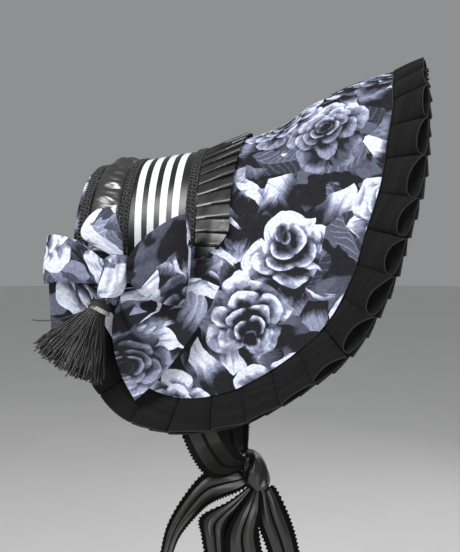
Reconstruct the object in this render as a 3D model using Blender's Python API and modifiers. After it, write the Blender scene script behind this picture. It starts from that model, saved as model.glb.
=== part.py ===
"""Frilled bonnet headdress, in metres, +Z up.

The wearer faces -Y and the wearer's right is -X. The origin is the inside of the crown at its top, where the
bonnet sits on a head. Sizes below are in millimetres and degrees, and MM turns them into metres.
"""

import math

import bmesh
import bpy
from mathutils import Vector

MM = 0.001
GAP = 0.3

CROWN_RADIUS = 76.0
CROWN_TOP = 2.0
CROWN_SLOPE = 0.15
CROWN_FRONT = -38.0
CROWN_BACK = 70.0
CROWN_WALL = 2.0
HEM_AT_FRONT = -64.0
HEM_SLOPE = -0.587
BACK_PANEL_AT = 66.5
BACK_PANEL_DOME = 5.0
BACK_PANEL_WALL = 1.5
BACK_PANEL_DOME_SHARE = 0.9
BACK_NOTCH_SHARE = 0.12

BRIM_WALL = 2.0
BRIM_ROOT_GAP = 0.5
BRIM_DIP = 4.5
BRIM_DIP_FROM = 0.06
BRIM_DIP_LENGTH = 0.45
BRIM_DIP_REACH = 0.6
BRIM_ROW_PACING = 1.3
BRIM_CREST = 4.0
BRIM_CREST_REACH = 0.22
BRIM_CREST_FROM = 0.4

FRILL_DEPTH = 28.0
FRILL_WALL = 1.0
FRILL_RISE_AT_SEAM = 3.2
FRILL_RISE_AT_HEM = 9.5
FRILL_SETBACK = 3.2
FRILL_TOP_SHARE = 0.78
FRILL_TOP_UNTIL = 0.15
FRILL_FULL_FROM = 0.31
BOX_COUNT = 40

SATIN_FRILL_ROOT = -21.0
SATIN_FRILL_WALL = 1.0
SATIN_PLEATS = 28
SATIN_FRILL_REACH_TOP = -54.0
SATIN_FRILL_REACH_SIDE = -45.5
SATIN_FRILL_REACH_PACE = 1.4
SATIN_FRILL_PAST_HEM = 6.0
SATIN_FRILL_CORNER_FROM = 0.82
SATIN_FRILL_CORNER_CUT = 0.85
SATIN_FRILL_FAN = 4.0
SATIN_FRILL_FAN_TURNS = 0.85
SATIN_FRILL_RISE_ROOT = 0.6
SATIN_FRILL_RISE_MIDDLE = 2.9
SATIN_FRILL_RISE_HEM = 2.4
SATIN_FRILL_MIDDLE = 0.45
SATIN_FRILL_CLIMB = 4.6
SATIN_FRILL_CLIMB_FROM = 0.8
SATIN_PLEAT_FOLD_AT = 0.16
SATIN_PLEAT_RISE_ROOT = 0.8
SATIN_PLEAT_RISE_HEM = 2.0

TRIM_END_GAP = 5.0
TRIM_LIFT = 0.45
BRAID_WIDTH = 7.0
BRAID_HEIGHT = 2.4
BRAIDS = {"braid_front": -20.0, "braid_middle": 29.3, "braid_back": 60.0}
RIBBON_WALL = 1.0
SATIN_BAND_WALL = 1.0
SATIN_BAND_INSET = 1.0
SATIN_BAND_PUFF_TOP = 5.0
SATIN_BAND_PUFF_SIDE = 1.2
SATIN_BAND_PUFF_REACH = 110.0
SATIN_BAND_GATHERS = 11
SATIN_BAND_GATHER_DEPTH = 0.2

BOW_WALL = 1.3
TIE_WALL = 1.0

CAP_RADIUS = 8.6
CAP_LENGTH = 9.0
CAP_WALL = 1.0
SKIRT_LENGTH = 52.0
SKIRT_FAN = 30.0
SKIRT_HEAD_RADIUS = 6.3
SKIRT_START = 3.4
SKIRT_LOCKS = 11
SKIRT_NECK = 1.0
SKIRT_TIP_UNEVEN = 2.0
SKIRT_LOCK_WIDE = 1.2
SKIRT_LOCK_THICK = 1.0

# Half of the brim, from the top of the wearer's head to the nape. root_y and root_run place the root on the crown,
# root_run is the distance down the arch from its top. flare turns the frill outward from the brim, in degrees.
BRIM_COLUMNS = ("share", "root_y", "root_run", "edge_x", "edge_y", "edge_z", "flare")
BRIM_ROWS = (
    (0.000, -35.0, 0.0, 0.0, -161.0, 64.5, -12.0),
    (0.094, -35.0, 28.0, 45.0, -160.0, 54.5, -9.0),
    (0.163, -35.0, 46.0, 73.5, -157.2, 39.5, -2.0),
    (0.220, -35.0, 60.0, 90.5, -156.0, 21.5, 6.0),
    (0.277, -35.0, 74.0, 102.0, -152.0, -3.0, 9.0),
    (0.340, -35.0, 88.0, 108.4, -147.4, -32.0, 9.0),
    (0.414, -34.6, 101.0, 111.4, -137.0, -66.0, 9.0),
    (0.464, -31.0, 111.0, 111.4, -130.4, -89.0, 12.0),
    (0.536, -21.0, 119.0, 108.4, -115.0, -120.0, 20.0),
    (0.605, -11.0, 123.6, 102.8, -92.6, -143.0, 30.0),
    (0.674, -1.5, 127.8, 95.6, -66.0, -162.0, 36.0),
    (0.726, 8.0, 132.0, 89.5, -44.3, -173.0, 40.0),
    (0.784, 18.0, 136.4, 86.5, -17.0, -178.4, 43.0),
    (0.840, 27.0, 140.3, 82.5, 6.5, -175.0, 40.0),
    (0.882, 33.0, 142.9, 79.5, 20.5, -167.0, 36.0),
    (0.922, 36.5, 144.4, 78.0, 30.0, -155.0, 28.0),
    (0.962, 39.5, 145.8, 78.2, 38.5, -140.5, 18.0),
    (1.000, 42.0, 146.9, 79.0, 47.5, -125.0, 12.0),
)

# Crosswise lines of each ribbon of the bow, from the knot outward. Each has two ends, and out is the distance to the
# wearer's right. puff lifts the middle of the line.
LINE_COLUMNS = ("y_1", "z_1", "out_1", "y_2", "z_2", "out_2", "puff")
BOW_RIBBONS = {
    "bow_loop_right": (
        (25.0, -82.0, 95.0, 24.0, -96.0, 95.0, 0.0),
        (12.0, -67.0, 101.0, 10.0, -106.0, 100.0, 3.0),
        (-5.0, -55.0, 102.0, -4.0, -111.0, 101.0, 4.0),
        (-15.0, -50.0, 99.0, -13.0, -112.0, 98.0, 2.0),
        (-17.5, -51.0, 94.0, -15.0, -111.0, 94.0, 0.0),
        (-13.0, -54.0, 91.2, -11.0, -108.0, 91.2, 0.0),
        (-4.0, -60.0, 90.5, -2.0, -104.0, 90.5, 0.0),
        (12.0, -72.0, 89.0, 12.0, -99.0, 89.0, 0.0),
        (24.5, -84.0, 89.5, 24.0, -93.0, 89.5, 0.0),
    ),
    "bow_loop_left": (
        (40.6, -82.0, 95.0, 45.0, -97.0, 95.0, 0.0),
        (56.0, -69.0, 99.0, 59.0, -96.5, 98.0, 2.0),
        (70.0, -64.0, 99.5, 74.0, -96.0, 98.0, 3.0),
        (79.0, -63.5, 97.0, 83.0, -97.5, 95.5, 1.0),
        (81.0, -64.5, 92.5, 85.0, -98.0, 91.5, 0.0),
        (76.0, -67.0, 89.5, 80.0, -96.5, 88.5, 0.0),
        (62.0, -73.0, 88.5, 66.0, -95.0, 88.5, 0.0),
        (41.8, -84.0, 89.5, 44.8, -94.5, 89.5, 0.0),
    ),
    "bow_loop_upper": (
        (36.0, -76.8, 95.5, 27.0, -76.8, 95.5, 0.0),
        (54.0, -65.0, 101.0, 27.0, -64.0, 100.0, 2.0),
        (52.0, -54.0, 101.0, 31.0, -51.0, 100.0, 2.0),
        (45.0, -46.5, 98.0, 36.0, -45.0, 97.0, 0.0),
        (45.0, -47.0, 93.0, 36.0, -45.5, 93.0, 0.0),
        (49.0, -55.0, 90.0, 33.0, -53.0, 90.0, 0.0),
        (48.0, -65.0, 89.5, 30.0, -64.0, 89.5, 0.0),
        (36.0, -76.8, 90.0, 28.0, -76.8, 90.0, 0.0),
    ),
    "bow_tail_right": (
        (29.2, -101.0, 86.0, 33.5, -107.8, 87.0, 0.0),
        (8.0, -99.0, 84.8, 37.0, -128.0, 86.5, 0.0),
        (-8.0, -96.0, 84.8, 34.5, -146.0, 87.0, 0.6),
        (-24.0, -93.5, 86.8, 28.5, -163.0, 88.5, 1.5),
        (-40.0, -99.0, 91.0, 19.0, -179.0, 91.0, 2.0),
    ),
    "bow_tail_left": (
        (45.6, -101.0, 84.5, 44.6, -108.6, 84.8, 0.0),
        (59.0, -98.0, 83.5, 52.0, -124.0, 84.5, 0.0),
        (72.0, -93.5, 83.8, 64.0, -134.0, 85.5, 0.0),
        (85.0, -91.0, 86.0, 82.0, -139.0, 87.5, 0.0),
    ),
}

# Rings of a closed, solid form: height, centre, and the two half widths.
RING_COLUMNS = ("z", "y", "out", "half_y", "half_out")
BOW_KNOT_ROWS = (
    (-77.3, 31.5, 91.5, 5.5, 6.0),
    (-80.0, 32.3, 91.0, 7.6, 9.5),
    (-86.0, 33.6, 90.4, 8.2, 11.0),
    (-92.0, 35.0, 90.2, 8.4, 11.1),
    (-98.0, 36.8, 90.3, 8.8, 11.0),
    (-104.0, 38.6, 90.8, 8.2, 9.0),
    (-107.0, 39.2, 92.5, 6.0, 6.5),
)
TIE_KNOT_ROWS = (
    (-237.5, -50.0, 0.0, 5.0, 7.0),
    (-241.0, -51.0, 0.0, 8.0, 10.0),
    (-248.0, -53.0, 0.0, 9.3, 11.5),
    (-255.0, -55.5, 0.0, 9.3, 12.0),
    (-262.0, -57.5, 0.0, 8.6, 11.0),
    (-266.5, -58.5, 0.0, 7.5, 9.0),
)

# Crosswise lines of the free ends and loops of the ties, from the knot down.
TIE_RIBBONS = {
    "tie_tail_back": (
        (-50.1, -265.9, 8.0, -44.6, -253.1, 2.5, 0.0),
        (-33.6, -271.0, 12.0, -31.1, -250.4, 11.0, 1.0),
        (-20.3, -277.1, 15.0, -17.8, -250.3, 24.0, 1.5),
        (-9.3, -287.4, 17.0, -3.5, -266.3, 33.0, 1.5),
        (2.1, -301.7, 17.0, 8.2, -287.1, 38.0, 1.0),
        (7.9, -314.2, 17.0, 13.6, -309.0, 39.0, 1.0),
        (11.2, -327.5, 17.0, 17.1, -330.9, 38.0, 0.0),
    ),
    "tie_loop_back": (
        (-52.5, -266.9, 6.5, -55.0, -266.9, 5.5, 0.0),
        (-35.1, -275.1, 16.5, -45.7, -280.4, 11.5, 0.5),
        (-15.0, -285.4, 22.0, -37.9, -294.6, 13.5, 2.0),
        (-16.1, -299.8, 24.0, -36.3, -309.1, 14.0, 2.0),
        (-19.0, -318.1, 22.0, -36.3, -323.9, 13.5, 1.0),
        (-20.6, -329.0, 17.0, -34.9, -330.5, 9.5, 0.0),
        (-21.8, -329.0, 9.0, -35.8, -328.6, 4.0, 0.0),
        (-23.0, -311.8, 6.5, -36.4, -310.4, 2.0, 0.0),
        (-27.2, -291.9, 6.5, -38.8, -290.5, 2.0, 0.0),
        (-40.9, -274.6, 5.0, -46.2, -276.2, 2.0, 0.0),
        (-52.5, -266.9, 2.5, -55.0, -266.9, 1.0, 0.0),
    ),
    "tie_loop_front": (
        (-57.2, -266.9, 6.5, -60.5, -266.9, 5.5, 0.0),
        (-47.0, -282.0, 16.0, -59.3, -282.4, 11.0, 1.0),
        (-38.6, -298.2, 19.0, -57.9, -299.5, 13.0, 2.0),
        (-37.0, -315.2, 19.0, -62.7, -317.2, 12.5, 2.0),
        (-37.3, -327.9, 15.5, -64.1, -329.7, 9.5, 0.0),
        (-38.0, -332.4, 8.5, -63.5, -333.9, 3.5, 0.0),
        (-39.7, -325.9, 2.0, -61.3, -326.8, -3.0, 0.0),
        (-40.1, -309.7, -1.0, -58.6, -310.7, -6.0, 0.0),
        (-43.4, -292.1, -1.0, -56.1, -294.0, -5.5, 0.0),
        (-50.9, -278.3, 0.0, -57.3, -277.8, -2.0, 0.0),
        (-57.2, -266.9, 0.5, -60.5, -266.9, -1.0, 0.0),
    ),
    "tie_tail_front": (
        (-61.5, -267.2, 3.8, -65.2, -268.6, 0.0, 0.0),
        (-59.6, -278.4, 6.0, -71.2, -266.2, -1.0, 0.5),
        (-59.8, -295.1, 7.0, -80.8, -285.7, -4.0, 1.5),
        (-65.3, -311.9, 5.0, -87.2, -304.6, -7.0, 1.5),
        (-70.8, -331.3, 3.0, -91.3, -323.5, -9.0, 0.0),
    ),
}

# The strap of the wearer's right, from the inside of the brim to the knot. The other one mirrors it.
STRAP_INSIDE = (0.86, 0.93, 1.0)
STRAP_CLEAR = 3.0
STRAP_CLEAR_AT_EDGE = 5.4
STRAP_SHARE_1 = 0.796
STRAP_SHARE_2 = 0.736
STRAP_ROWS = (
    (-6.5, -194.0, 77.5, -37.0, -192.0, 79.0, 0.0),
    (-11.1, -212.6, 68.0, -41.6, -208.9, 70.0, 1.0),
    (-14.2, -232.0, 48.0, -45.0, -221.7, 51.0, 1.0),
    (-20.4, -248.4, 30.0, -46.5, -232.0, 32.0, 0.0),
    (-31.1, -254.3, 17.0, -47.3, -237.2, 18.5, 0.0),
    (-43.4, -250.5, 7.2, -48.5, -240.5, 10.2, 0.0),
)


def row_at(columns, rows, share):
    """The row at a share of the table, on a smooth curve through the rows. A first column named share paces it."""
    paced = columns[0] == "share"
    places = [row[0] for row in rows] if paced else [k / (len(rows) - 1) for k in range(len(rows))]
    k = max(i for i in range(len(rows) - 1) if share >= places[i] or i == 0)
    step = places[k + 1] - places[k]
    t = (share - places[k]) / step
    values = []
    for column in range(len(columns)):
        p1, p2 = rows[k][column], rows[k + 1][column]
        before = rows[k - 1][column] if k > 0 else p1
        after = rows[k + 2][column] if k + 2 < len(rows) else p2
        span_1 = places[k + 1] - (places[k - 1] if k > 0 else places[k])
        span_2 = (places[k + 2] if k + 2 < len(rows) else places[k + 1]) - places[k]
        m1 = (p2 - before) / span_1 * step
        m2 = (after - p1) / span_2 * step
        t2, t3 = t * t, t * t * t
        values.append(
            (2 * t3 - 3 * t2 + 1) * p1 + (t3 - 2 * t2 + t) * m1 + (3 * t2 - 2 * t3) * p2 + (t3 - t2) * m2
        )
    return dict(zip(columns, values))


def crown_centre(y):
    """Height of the arch's centre at y."""
    return CROWN_TOP - CROWN_SLOPE * y - CROWN_RADIUS


def hem_height(y):
    return HEM_AT_FRONT + HEM_SLOPE * (y - CROWN_FRONT)


def crown_reach(y):
    """Distance down the arch from its top to the lower hem."""
    below = crown_centre(y) - hem_height(y)
    if below >= 0:
        return CROWN_RADIUS * math.pi / 2 + below
    return CROWN_RADIUS * math.acos(-below / CROWN_RADIUS)


def crown_point(y, run, lift=0.0):
    """A point on the crown's outer face, run along the arch from its top, negative to the wearer's right."""
    side = -1 if run < 0 else 1
    quarter = CROWN_RADIUS * math.pi / 2
    down = abs(run)
    radius = CROWN_RADIUS + lift
    if down < quarter:
        angle = down / CROWN_RADIUS
        return Vector((side * radius * math.sin(angle), y, crown_centre(y) + radius * math.cos(angle)))
    return Vector((side * radius, y, crown_centre(y) - (down - quarter)))


def brim_outer(along, outward):
    """A point on the brim's outer face. along runs from -1 to 1, and outward from the root at 0 to the edge at 1."""
    side = -1 if along < 0 else 1
    row = row_at(BRIM_COLUMNS, BRIM_ROWS, abs(along))
    root = crown_point(row["root_y"], side * row["root_run"], BRIM_ROOT_GAP + BRIM_WALL)
    edge = Vector((side * row["edge_x"], row["edge_y"], row["edge_z"]))
    dip_share = min(max((outward - BRIM_DIP_FROM) / BRIM_DIP_LENGTH, 0.0), 1.0)
    dip = BRIM_DIP * max(1 - abs(along) / BRIM_DIP_REACH, 0.0) * math.sin(math.pi * dip_share)
    crest_share = min(max((outward - BRIM_CREST_FROM) / (1 - BRIM_CREST_FROM), 0.0), 1.0)
    crest = BRIM_CREST * max(1 - abs(along) / BRIM_CREST_REACH, 0.0) * math.sin(math.pi * crest_share)
    radial = Vector((root.x, 0.0, root.z - crown_centre(root.y))).normalized()
    return root.lerp(edge, outward) + radial * (crest - dip)


def brim_frame(along):
    """The brim's edge there, with its unit directions: along the edge, out of the surface and outward."""
    step = 0.004
    low, high = max(along - step, -1.0), min(along + step, 1.0)
    tangent = (brim_outer(high, 1.0) - brim_outer(low, 1.0)).normalized()
    inward = (brim_outer(along, 0.93) - brim_outer(along, 1.0)).normalized()
    normal = tangent.cross(inward).normalized()
    outward = normal.cross(tangent).normalized()
    if outward.dot(inward) > 0:
        outward = -outward
    return brim_outer(along, 1.0), tangent, normal, outward


def material(name, colour, roughness, metallic=0.0):
    found = bpy.data.materials.get(name)
    if found:
        return found
    made = bpy.data.materials.new(name)
    made.use_nodes = True
    shader = made.node_tree.nodes["Principled BSDF"]
    shader.inputs["Base Color"].default_value = (*colour, 1.0)
    shader.inputs["Roughness"].default_value = roughness
    shader.inputs["Metallic"].default_value = metallic
    return made


def print_cotton():
    return material("print_cotton", (0.19, 0.20, 0.27), 0.85)


def black_cotton():
    return material("black_cotton", (0.015, 0.015, 0.017), 0.9)


def black_satin():
    return material("black_satin", (0.02, 0.02, 0.022), 0.3)


def striped_satin():
    return material("striped_satin", (0.55, 0.55, 0.56), 0.35)


def braid_yarn():
    return material("braid_yarn", (0.012, 0.012, 0.013), 0.6)


def tie_satin():
    return material("tie_satin", (0.018, 0.018, 0.02), 0.4)


def tassel_thread():
    return material("tassel_thread", (0.014, 0.014, 0.015), 0.5)


def antique_metal():
    return material("antique_metal", (0.28, 0.26, 0.22), 0.4, 1.0)


def new_object(name, bm, finish):
    mesh = bpy.data.meshes.new(name)
    bm.to_mesh(mesh)
    bm.free()
    mesh.materials.append(finish)
    made = bpy.data.objects.new(name, mesh)
    bpy.data.collections["bonnet"].objects.link(made)
    return made


def sheet(name, columns, rows, place, wall, side, finish):
    """A cloth wall: a grid placed by place(a, b), with a and b from 0 to 1. side is -1 to thicken inward."""
    bm = bmesh.new()
    bmesh.ops.create_grid(bm, x_segments=columns, y_segments=rows, size=0.5)
    for vert in bm.verts:
        vert.co = place(vert.co.x + 0.5, vert.co.y + 0.5) * MM
    made = new_object(name, bm, finish)
    shell = made.modifiers.new("wall", "SOLIDIFY")
    shell.thickness = wall * MM
    shell.offset = side
    return made


def rings(name, around, levels, place, finish):
    """A closed, solid form: a grid wrapped round and closed at both ends. place(turn, b) gives its points."""
    bm = bmesh.new()
    bmesh.ops.create_grid(bm, x_segments=around, y_segments=levels, size=0.5)
    for vert in bm.verts:
        vert.co = place((vert.co.x + 0.5) * 2 * math.pi, vert.co.y + 0.5) * MM
    bmesh.ops.remove_doubles(bm, verts=bm.verts, dist=1e-6)
    ends = [edge for edge in bm.edges if edge.is_boundary]
    bmesh.ops.holes_fill(bm, edges=ends)
    bmesh.ops.triangulate(bm, faces=[face for face in bm.faces if len(face.verts) > 4])
    bmesh.ops.recalc_face_normals(bm, faces=bm.faces)
    return new_object(name, bm, finish)


def crown():
    def place(a, b):
        y = CROWN_FRONT + (CROWN_BACK - CROWN_FRONT) * b
        return crown_point(y, (2 * a - 1) * crown_reach(y))

    sheet("crown", 32, 5, place, CROWN_WALL, -1, print_cotton())


def crown_back():
    """The back panel, a fan from the arch down to a small notch at the nape."""
    inset = CROWN_WALL + GAP
    foot = Vector((0.0, BACK_PANEL_AT, hem_height(BACK_PANEL_AT) + inset))

    def place(a, b):
        reach = crown_reach(BACK_PANEL_AT) - inset
        rim = crown_point(BACK_PANEL_AT, (2 * a - 1) * reach, -inset)
        keep = 1.0 - (1.0 - BACK_NOTCH_SHARE) * b
        dome = BACK_PANEL_DOME * math.sin(math.pi * BACK_PANEL_DOME_SHARE * b)
        return foot.lerp(rim, keep) + Vector((0.0, dome, 0.0))

    sheet("crown_back", 24, 3, place, BACK_PANEL_WALL, -1, print_cotton())


def brim():
    def place(a, b):
        return brim_outer(2 * a - 1, (1 - b) ** BRIM_ROW_PACING)

    sheet("brim", 60, 5, place, BRIM_WALL, -1, print_cotton())


def box_wave(phase):
    """Shift along the edge and rise of a box pleat at a phase from 0 to 5: its fold, bulging face and next fold."""
    shifts = (0.22, 0.04, 0.50, 0.96, 0.78)
    rises = (0.0, 0.45, 1.0, 0.45, 0.0)
    return shifts[phase], rises[phase]


def frill_depth(along):
    """From the seam to the frill's hem, which is less over the wearer's forehead."""
    past = min(max((abs(along) - FRILL_TOP_UNTIL) / (FRILL_FULL_FROM - FRILL_TOP_UNTIL), 0.0), 1.0)
    return FRILL_DEPTH * (FRILL_TOP_SHARE + (1 - FRILL_TOP_SHARE) * past * past * (3 - 2 * past))


def frill_point(along, outward, rise):
    """A point of the frill. The rise turns with the flare, from square to the brim at the seam."""
    edge, _, normal, forward = brim_frame(along)
    flare = math.radians(row_at(BRIM_COLUMNS, BRIM_ROWS, abs(along))["flare"])
    lean = forward * math.cos(flare) + normal * math.sin(flare)
    turned = flare * outward
    lift = normal * math.cos(turned) - forward * math.sin(turned)
    start = edge + forward * (FRILL_WALL + GAP) - normal * FRILL_SETBACK
    return start + lean * (outward * frill_depth(along)) + lift * rise


def brim_frill():
    phases = 5
    columns = BOX_COUNT * phases - 1

    def place(a, b):
        index = round(a * columns)
        box, phase = divmod(index, phases)
        shift, rise = box_wave(phase)
        along = 2 * (box + shift) / BOX_COUNT - 1
        height = FRILL_RISE_AT_SEAM + (FRILL_RISE_AT_HEM - FRILL_RISE_AT_SEAM) * (1 - b)
        return frill_point(along, 1 - b, rise * height)

    sheet("brim_frill", columns, 2, place, FRILL_WALL, 0, black_cotton())


def across_crown(name, front, back, lift, columns, rows, wall, finish):
    """A band over the crown from front to back, in y. lift(a, b, run) is the height of its inner face."""

    def place(a, b):
        y = front + (back - front) * b
        run = (2 * a - 1) * (crown_reach(y) - TRIM_END_GAP)
        return crown_point(y, run, lift(a, b, run))

    sheet(name, columns, rows, place, wall, 1, finish)


def flat_lift(a, b, run):
    return TRIM_LIFT


def braids():
    for name, front in BRAIDS.items():
        across_crown(name, front, front + BRAID_WIDTH, flat_lift, 32, 1, BRAID_HEIGHT, braid_yarn())


def striped_ribbon():
    front = BRAIDS["braid_front"] + BRAID_WIDTH + GAP
    back = BRAIDS["braid_middle"] - GAP
    across_crown("striped_ribbon", front, back, flat_lift, 36, 3, RIBBON_WALL, striped_satin())


def satin_band():
    front = BRAIDS["braid_middle"] + BRAID_WIDTH + SATIN_BAND_INSET
    back = BRAIDS["braid_back"] - SATIN_BAND_INSET

    def lift(a, b, run):
        top = max(0.0, 1.0 - abs(run) / SATIN_BAND_PUFF_REACH)
        puff = SATIN_BAND_PUFF_SIDE + (SATIN_BAND_PUFF_TOP - SATIN_BAND_PUFF_SIDE) * top
        wave = math.cos(2 * math.pi * SATIN_BAND_GATHERS * a)
        gather = 1.0 - SATIN_BAND_GATHER_DEPTH * (1.0 - wave)
        return TRIM_LIFT + puff * gather * math.sin(math.pi * b)

    across_crown("satin_band", front, back, lift, 44, 3, SATIN_BAND_WALL, black_satin())


def satin_frill():
    """The knife-pleated frill over the brim's root. Its folds point down on both sides, and its lower corners are cut
    round."""
    columns = SATIN_PLEATS * 2

    def place(a, b):
        index = round(a * columns)
        side = 1 if index > SATIN_PLEATS else -1
        pleat, fold = divmod(min(index, columns - index), 2)
        low = 1 - 2 * (pleat + (SATIN_PLEAT_FOLD_AT if fold else 0.0)) / SATIN_PLEATS
        to_corner = max(low - SATIN_FRILL_CORNER_FROM, 0.0) / (1 - SATIN_FRILL_CORNER_FROM)
        out = (1 - b) * (1 - SATIN_FRILL_CORNER_CUT * to_corner * to_corner)
        down = min(low * SATIN_FRILL_REACH_PACE, 1.0)
        free = SATIN_FRILL_REACH_TOP + (SATIN_FRILL_REACH_SIDE - SATIN_FRILL_REACH_TOP) * down
        y = SATIN_FRILL_ROOT + (free - SATIN_FRILL_ROOT) * out
        fan = SATIN_FRILL_FAN * out * math.sin(2 * math.pi * SATIN_FRILL_FAN_TURNS * low)
        run = side * (low * (crown_reach(SATIN_FRILL_ROOT) + SATIN_FRILL_PAST_HEM) - fan)
        to_middle = min(out / SATIN_FRILL_MIDDLE, 1.0)
        to_hem = max(out - SATIN_FRILL_MIDDLE, 0.0) / (1 - SATIN_FRILL_MIDDLE)
        base = SATIN_FRILL_RISE_ROOT + SATIN_FRILL_RISE_MIDDLE * to_middle + SATIN_FRILL_RISE_HEM * to_hem
        low_end = max(low - SATIN_FRILL_CLIMB_FROM, 0.0) / (1 - SATIN_FRILL_CLIMB_FROM)
        pleat_rise = fold * (SATIN_PLEAT_RISE_ROOT + SATIN_PLEAT_RISE_HEM * out)
        return crown_point(y, run, base + SATIN_FRILL_CLIMB * low_end + pleat_rise)

    sheet("satin_frill", columns, 2, place, SATIN_FRILL_WALL, 1, black_satin())


def ribbon(name, rows, columns, across, wall, finish, mirrored=False):
    """A cloth ribbon through crosswise lines. columns counts its steps along and across its steps over."""

    def place(a, b):
        row = row_at(LINE_COLUMNS, rows, a)
        side = 1 if mirrored else -1
        one = Vector((side * row["out_1"], row["y_1"], row["z_1"]))
        two = Vector((side * row["out_2"], row["y_2"], row["z_2"]))
        return one.lerp(two, b) + Vector((side * row["puff"] * math.sin(math.pi * b), 0.0, 0.0))

    sheet(name, columns, across, place, wall, 0, finish)


def bow():
    for name, rows in BOW_RIBBONS.items():
        steps = 18 if "loop" in name else 8
        ribbon(name, rows, steps, 3, BOW_WALL, print_cotton())
    solid_rows("bow_knot", BOW_KNOT_ROWS, print_cotton())


def solid_rows(name, rows, finish):
    def place(turn, b):
        row = row_at(RING_COLUMNS, rows, b)
        y = row["y"] + row["half_y"] * math.cos(turn)
        out = row["out"] + row["half_out"] * math.sin(turn)
        return Vector((-out, y, row["z"]))

    rings(name, 14, 6, place, finish)


def tassel_place():
    """The tassel's top and its axis, which hangs down and back."""
    top = Vector((-96.6, 40.8, -108.4))
    axis = Vector((-0.16, 0.46, -0.87)).normalized()
    return top, axis


def tassel_frame():
    top, axis = tassel_place()
    wide = Vector((0.0, 1.0, 0.0))
    wide = (wide - axis * wide.dot(axis)).normalized()
    return top, axis, wide, axis.cross(wide).normalized()


def tassel_skirt():
    """Locks of thread fused to a head that sits in the cap."""
    top, axis, wide, thick = tassel_frame()
    neck = CAP_LENGTH + SKIRT_NECK

    def place(turn, b):
        lock = math.cos(SKIRT_LOCKS * turn)
        reach = SKIRT_START + (SKIRT_LENGTH + SKIRT_TIP_UNEVEN * lock * b ** 6) * b ** 1.3
        fanned = max(reach - neck, 0.0)
        angle = math.radians(SKIRT_FAN) * math.cos(turn)
        share = fanned / SKIRT_LENGTH
        half_wide = SKIRT_HEAD_RADIUS + SKIRT_LOCK_WIDE * lock * share
        half_thick = SKIRT_HEAD_RADIUS + SKIRT_LOCK_THICK * (lock - 1.0) * share
        down = min(reach, neck) + fanned * math.cos(angle)
        sideways = half_wide * math.cos(turn) + fanned * math.sin(angle)
        return top + axis * down + wide * sideways + thick * (half_thick * math.sin(turn))

    rings("tassel_skirt", 33, 6, place, tassel_thread())


def tassel_cap():
    """A turned bell, open below, over the head of the skirt."""
    profile = (
        (0.0, 0.0),
        (2.2, 0.0),
        (2.6, -1.4),
        (CAP_RADIUS * 0.78, -2.6),
        (CAP_RADIUS, -5.0),
        (CAP_RADIUS, -CAP_LENGTH),
        (CAP_RADIUS - CAP_WALL, -CAP_LENGTH),
        (CAP_RADIUS - CAP_WALL, -5.0 + CAP_WALL * 0.5),
        (CAP_RADIUS * 0.70, -2.9),
        (0.0, -2.9),
    )
    mesh = bpy.data.meshes.new("tassel_cap")
    points = [(radius * MM, 0.0, height * MM) for radius, height in profile]
    lines = [(k, k + 1) for k in range(len(points) - 1)]
    mesh.from_pydata(points, lines, [])
    mesh.materials.append(antique_metal())
    made = bpy.data.objects.new("tassel_cap", mesh)
    bpy.data.collections["bonnet"].objects.link(made)
    turn = made.modifiers.new("turn", "SCREW")
    turn.steps = 16
    turn.render_steps = 16
    turn.use_merge_vertices = True
    turn.merge_threshold = 0.00001
    top, axis, _, _ = tassel_frame()
    made.rotation_mode = "QUATERNION"
    made.rotation_quaternion = (-axis).to_track_quat("Z", "Y")
    made.location = top * MM


def strap(name, mirrored):
    """A tie from the inside of the brim to the knot under the chin."""

    def inside(share, outward):
        spot = brim_outer(share, outward)
        across = brim_outer(share + 0.01, outward) - spot
        along = brim_outer(share, outward - 0.05) - spot
        to_edge = (outward - STRAP_INSIDE[0]) / (STRAP_INSIDE[-1] - STRAP_INSIDE[0])
        clear = STRAP_CLEAR + (STRAP_CLEAR_AT_EDGE - STRAP_CLEAR) * to_edge
        return spot - across.cross(along).normalized() * clear

    lines = []
    for outward in STRAP_INSIDE:
        one, two = inside(STRAP_SHARE_1, outward), inside(STRAP_SHARE_2, outward)
        lines.append((one.y, one.z, one.x, two.y, two.z, two.x, 0.0))
    ribbon(name, (*lines, *STRAP_ROWS), 16, 2, TIE_WALL, tie_satin(), mirrored)


def ties():
    strap("tie_strap_right", False)
    strap("tie_strap_left", True)
    solid_rows("tie_knot", TIE_KNOT_ROWS, tie_satin())
    for name, rows in TIE_RIBBONS.items():
        ribbon(name, rows, 20 if "loop" in name else 12, 2, TIE_WALL, tie_satin())


def clear_scene():
    for old in list(bpy.data.objects):
        bpy.data.objects.remove(old, do_unlink=True)
    group = bpy.data.collections.new("bonnet")
    bpy.context.scene.collection.children.link(group)


def main():
    clear_scene()
    crown()
    crown_back()
    brim()
    brim_frill()
    braids()
    striped_ribbon()
    satin_band()
    satin_frill()
    bow()
    tassel_skirt()
    tassel_cap()
    ties()


main()
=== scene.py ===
"""Frilled bonnet headdress: the cloth, trims, bow, tassel and ties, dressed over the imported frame.

The tables and shape functions are in millimetres, and MM turns them into metres. The settings, the materials
and the stage are in metres. The wearer faces -Y, the wearer's right is -X and +Z is up. The origin is the
inside of the crown at its top.
"""

import math

import bmesh
import bpy
from mathutils import Matrix, Vector, noise


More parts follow.
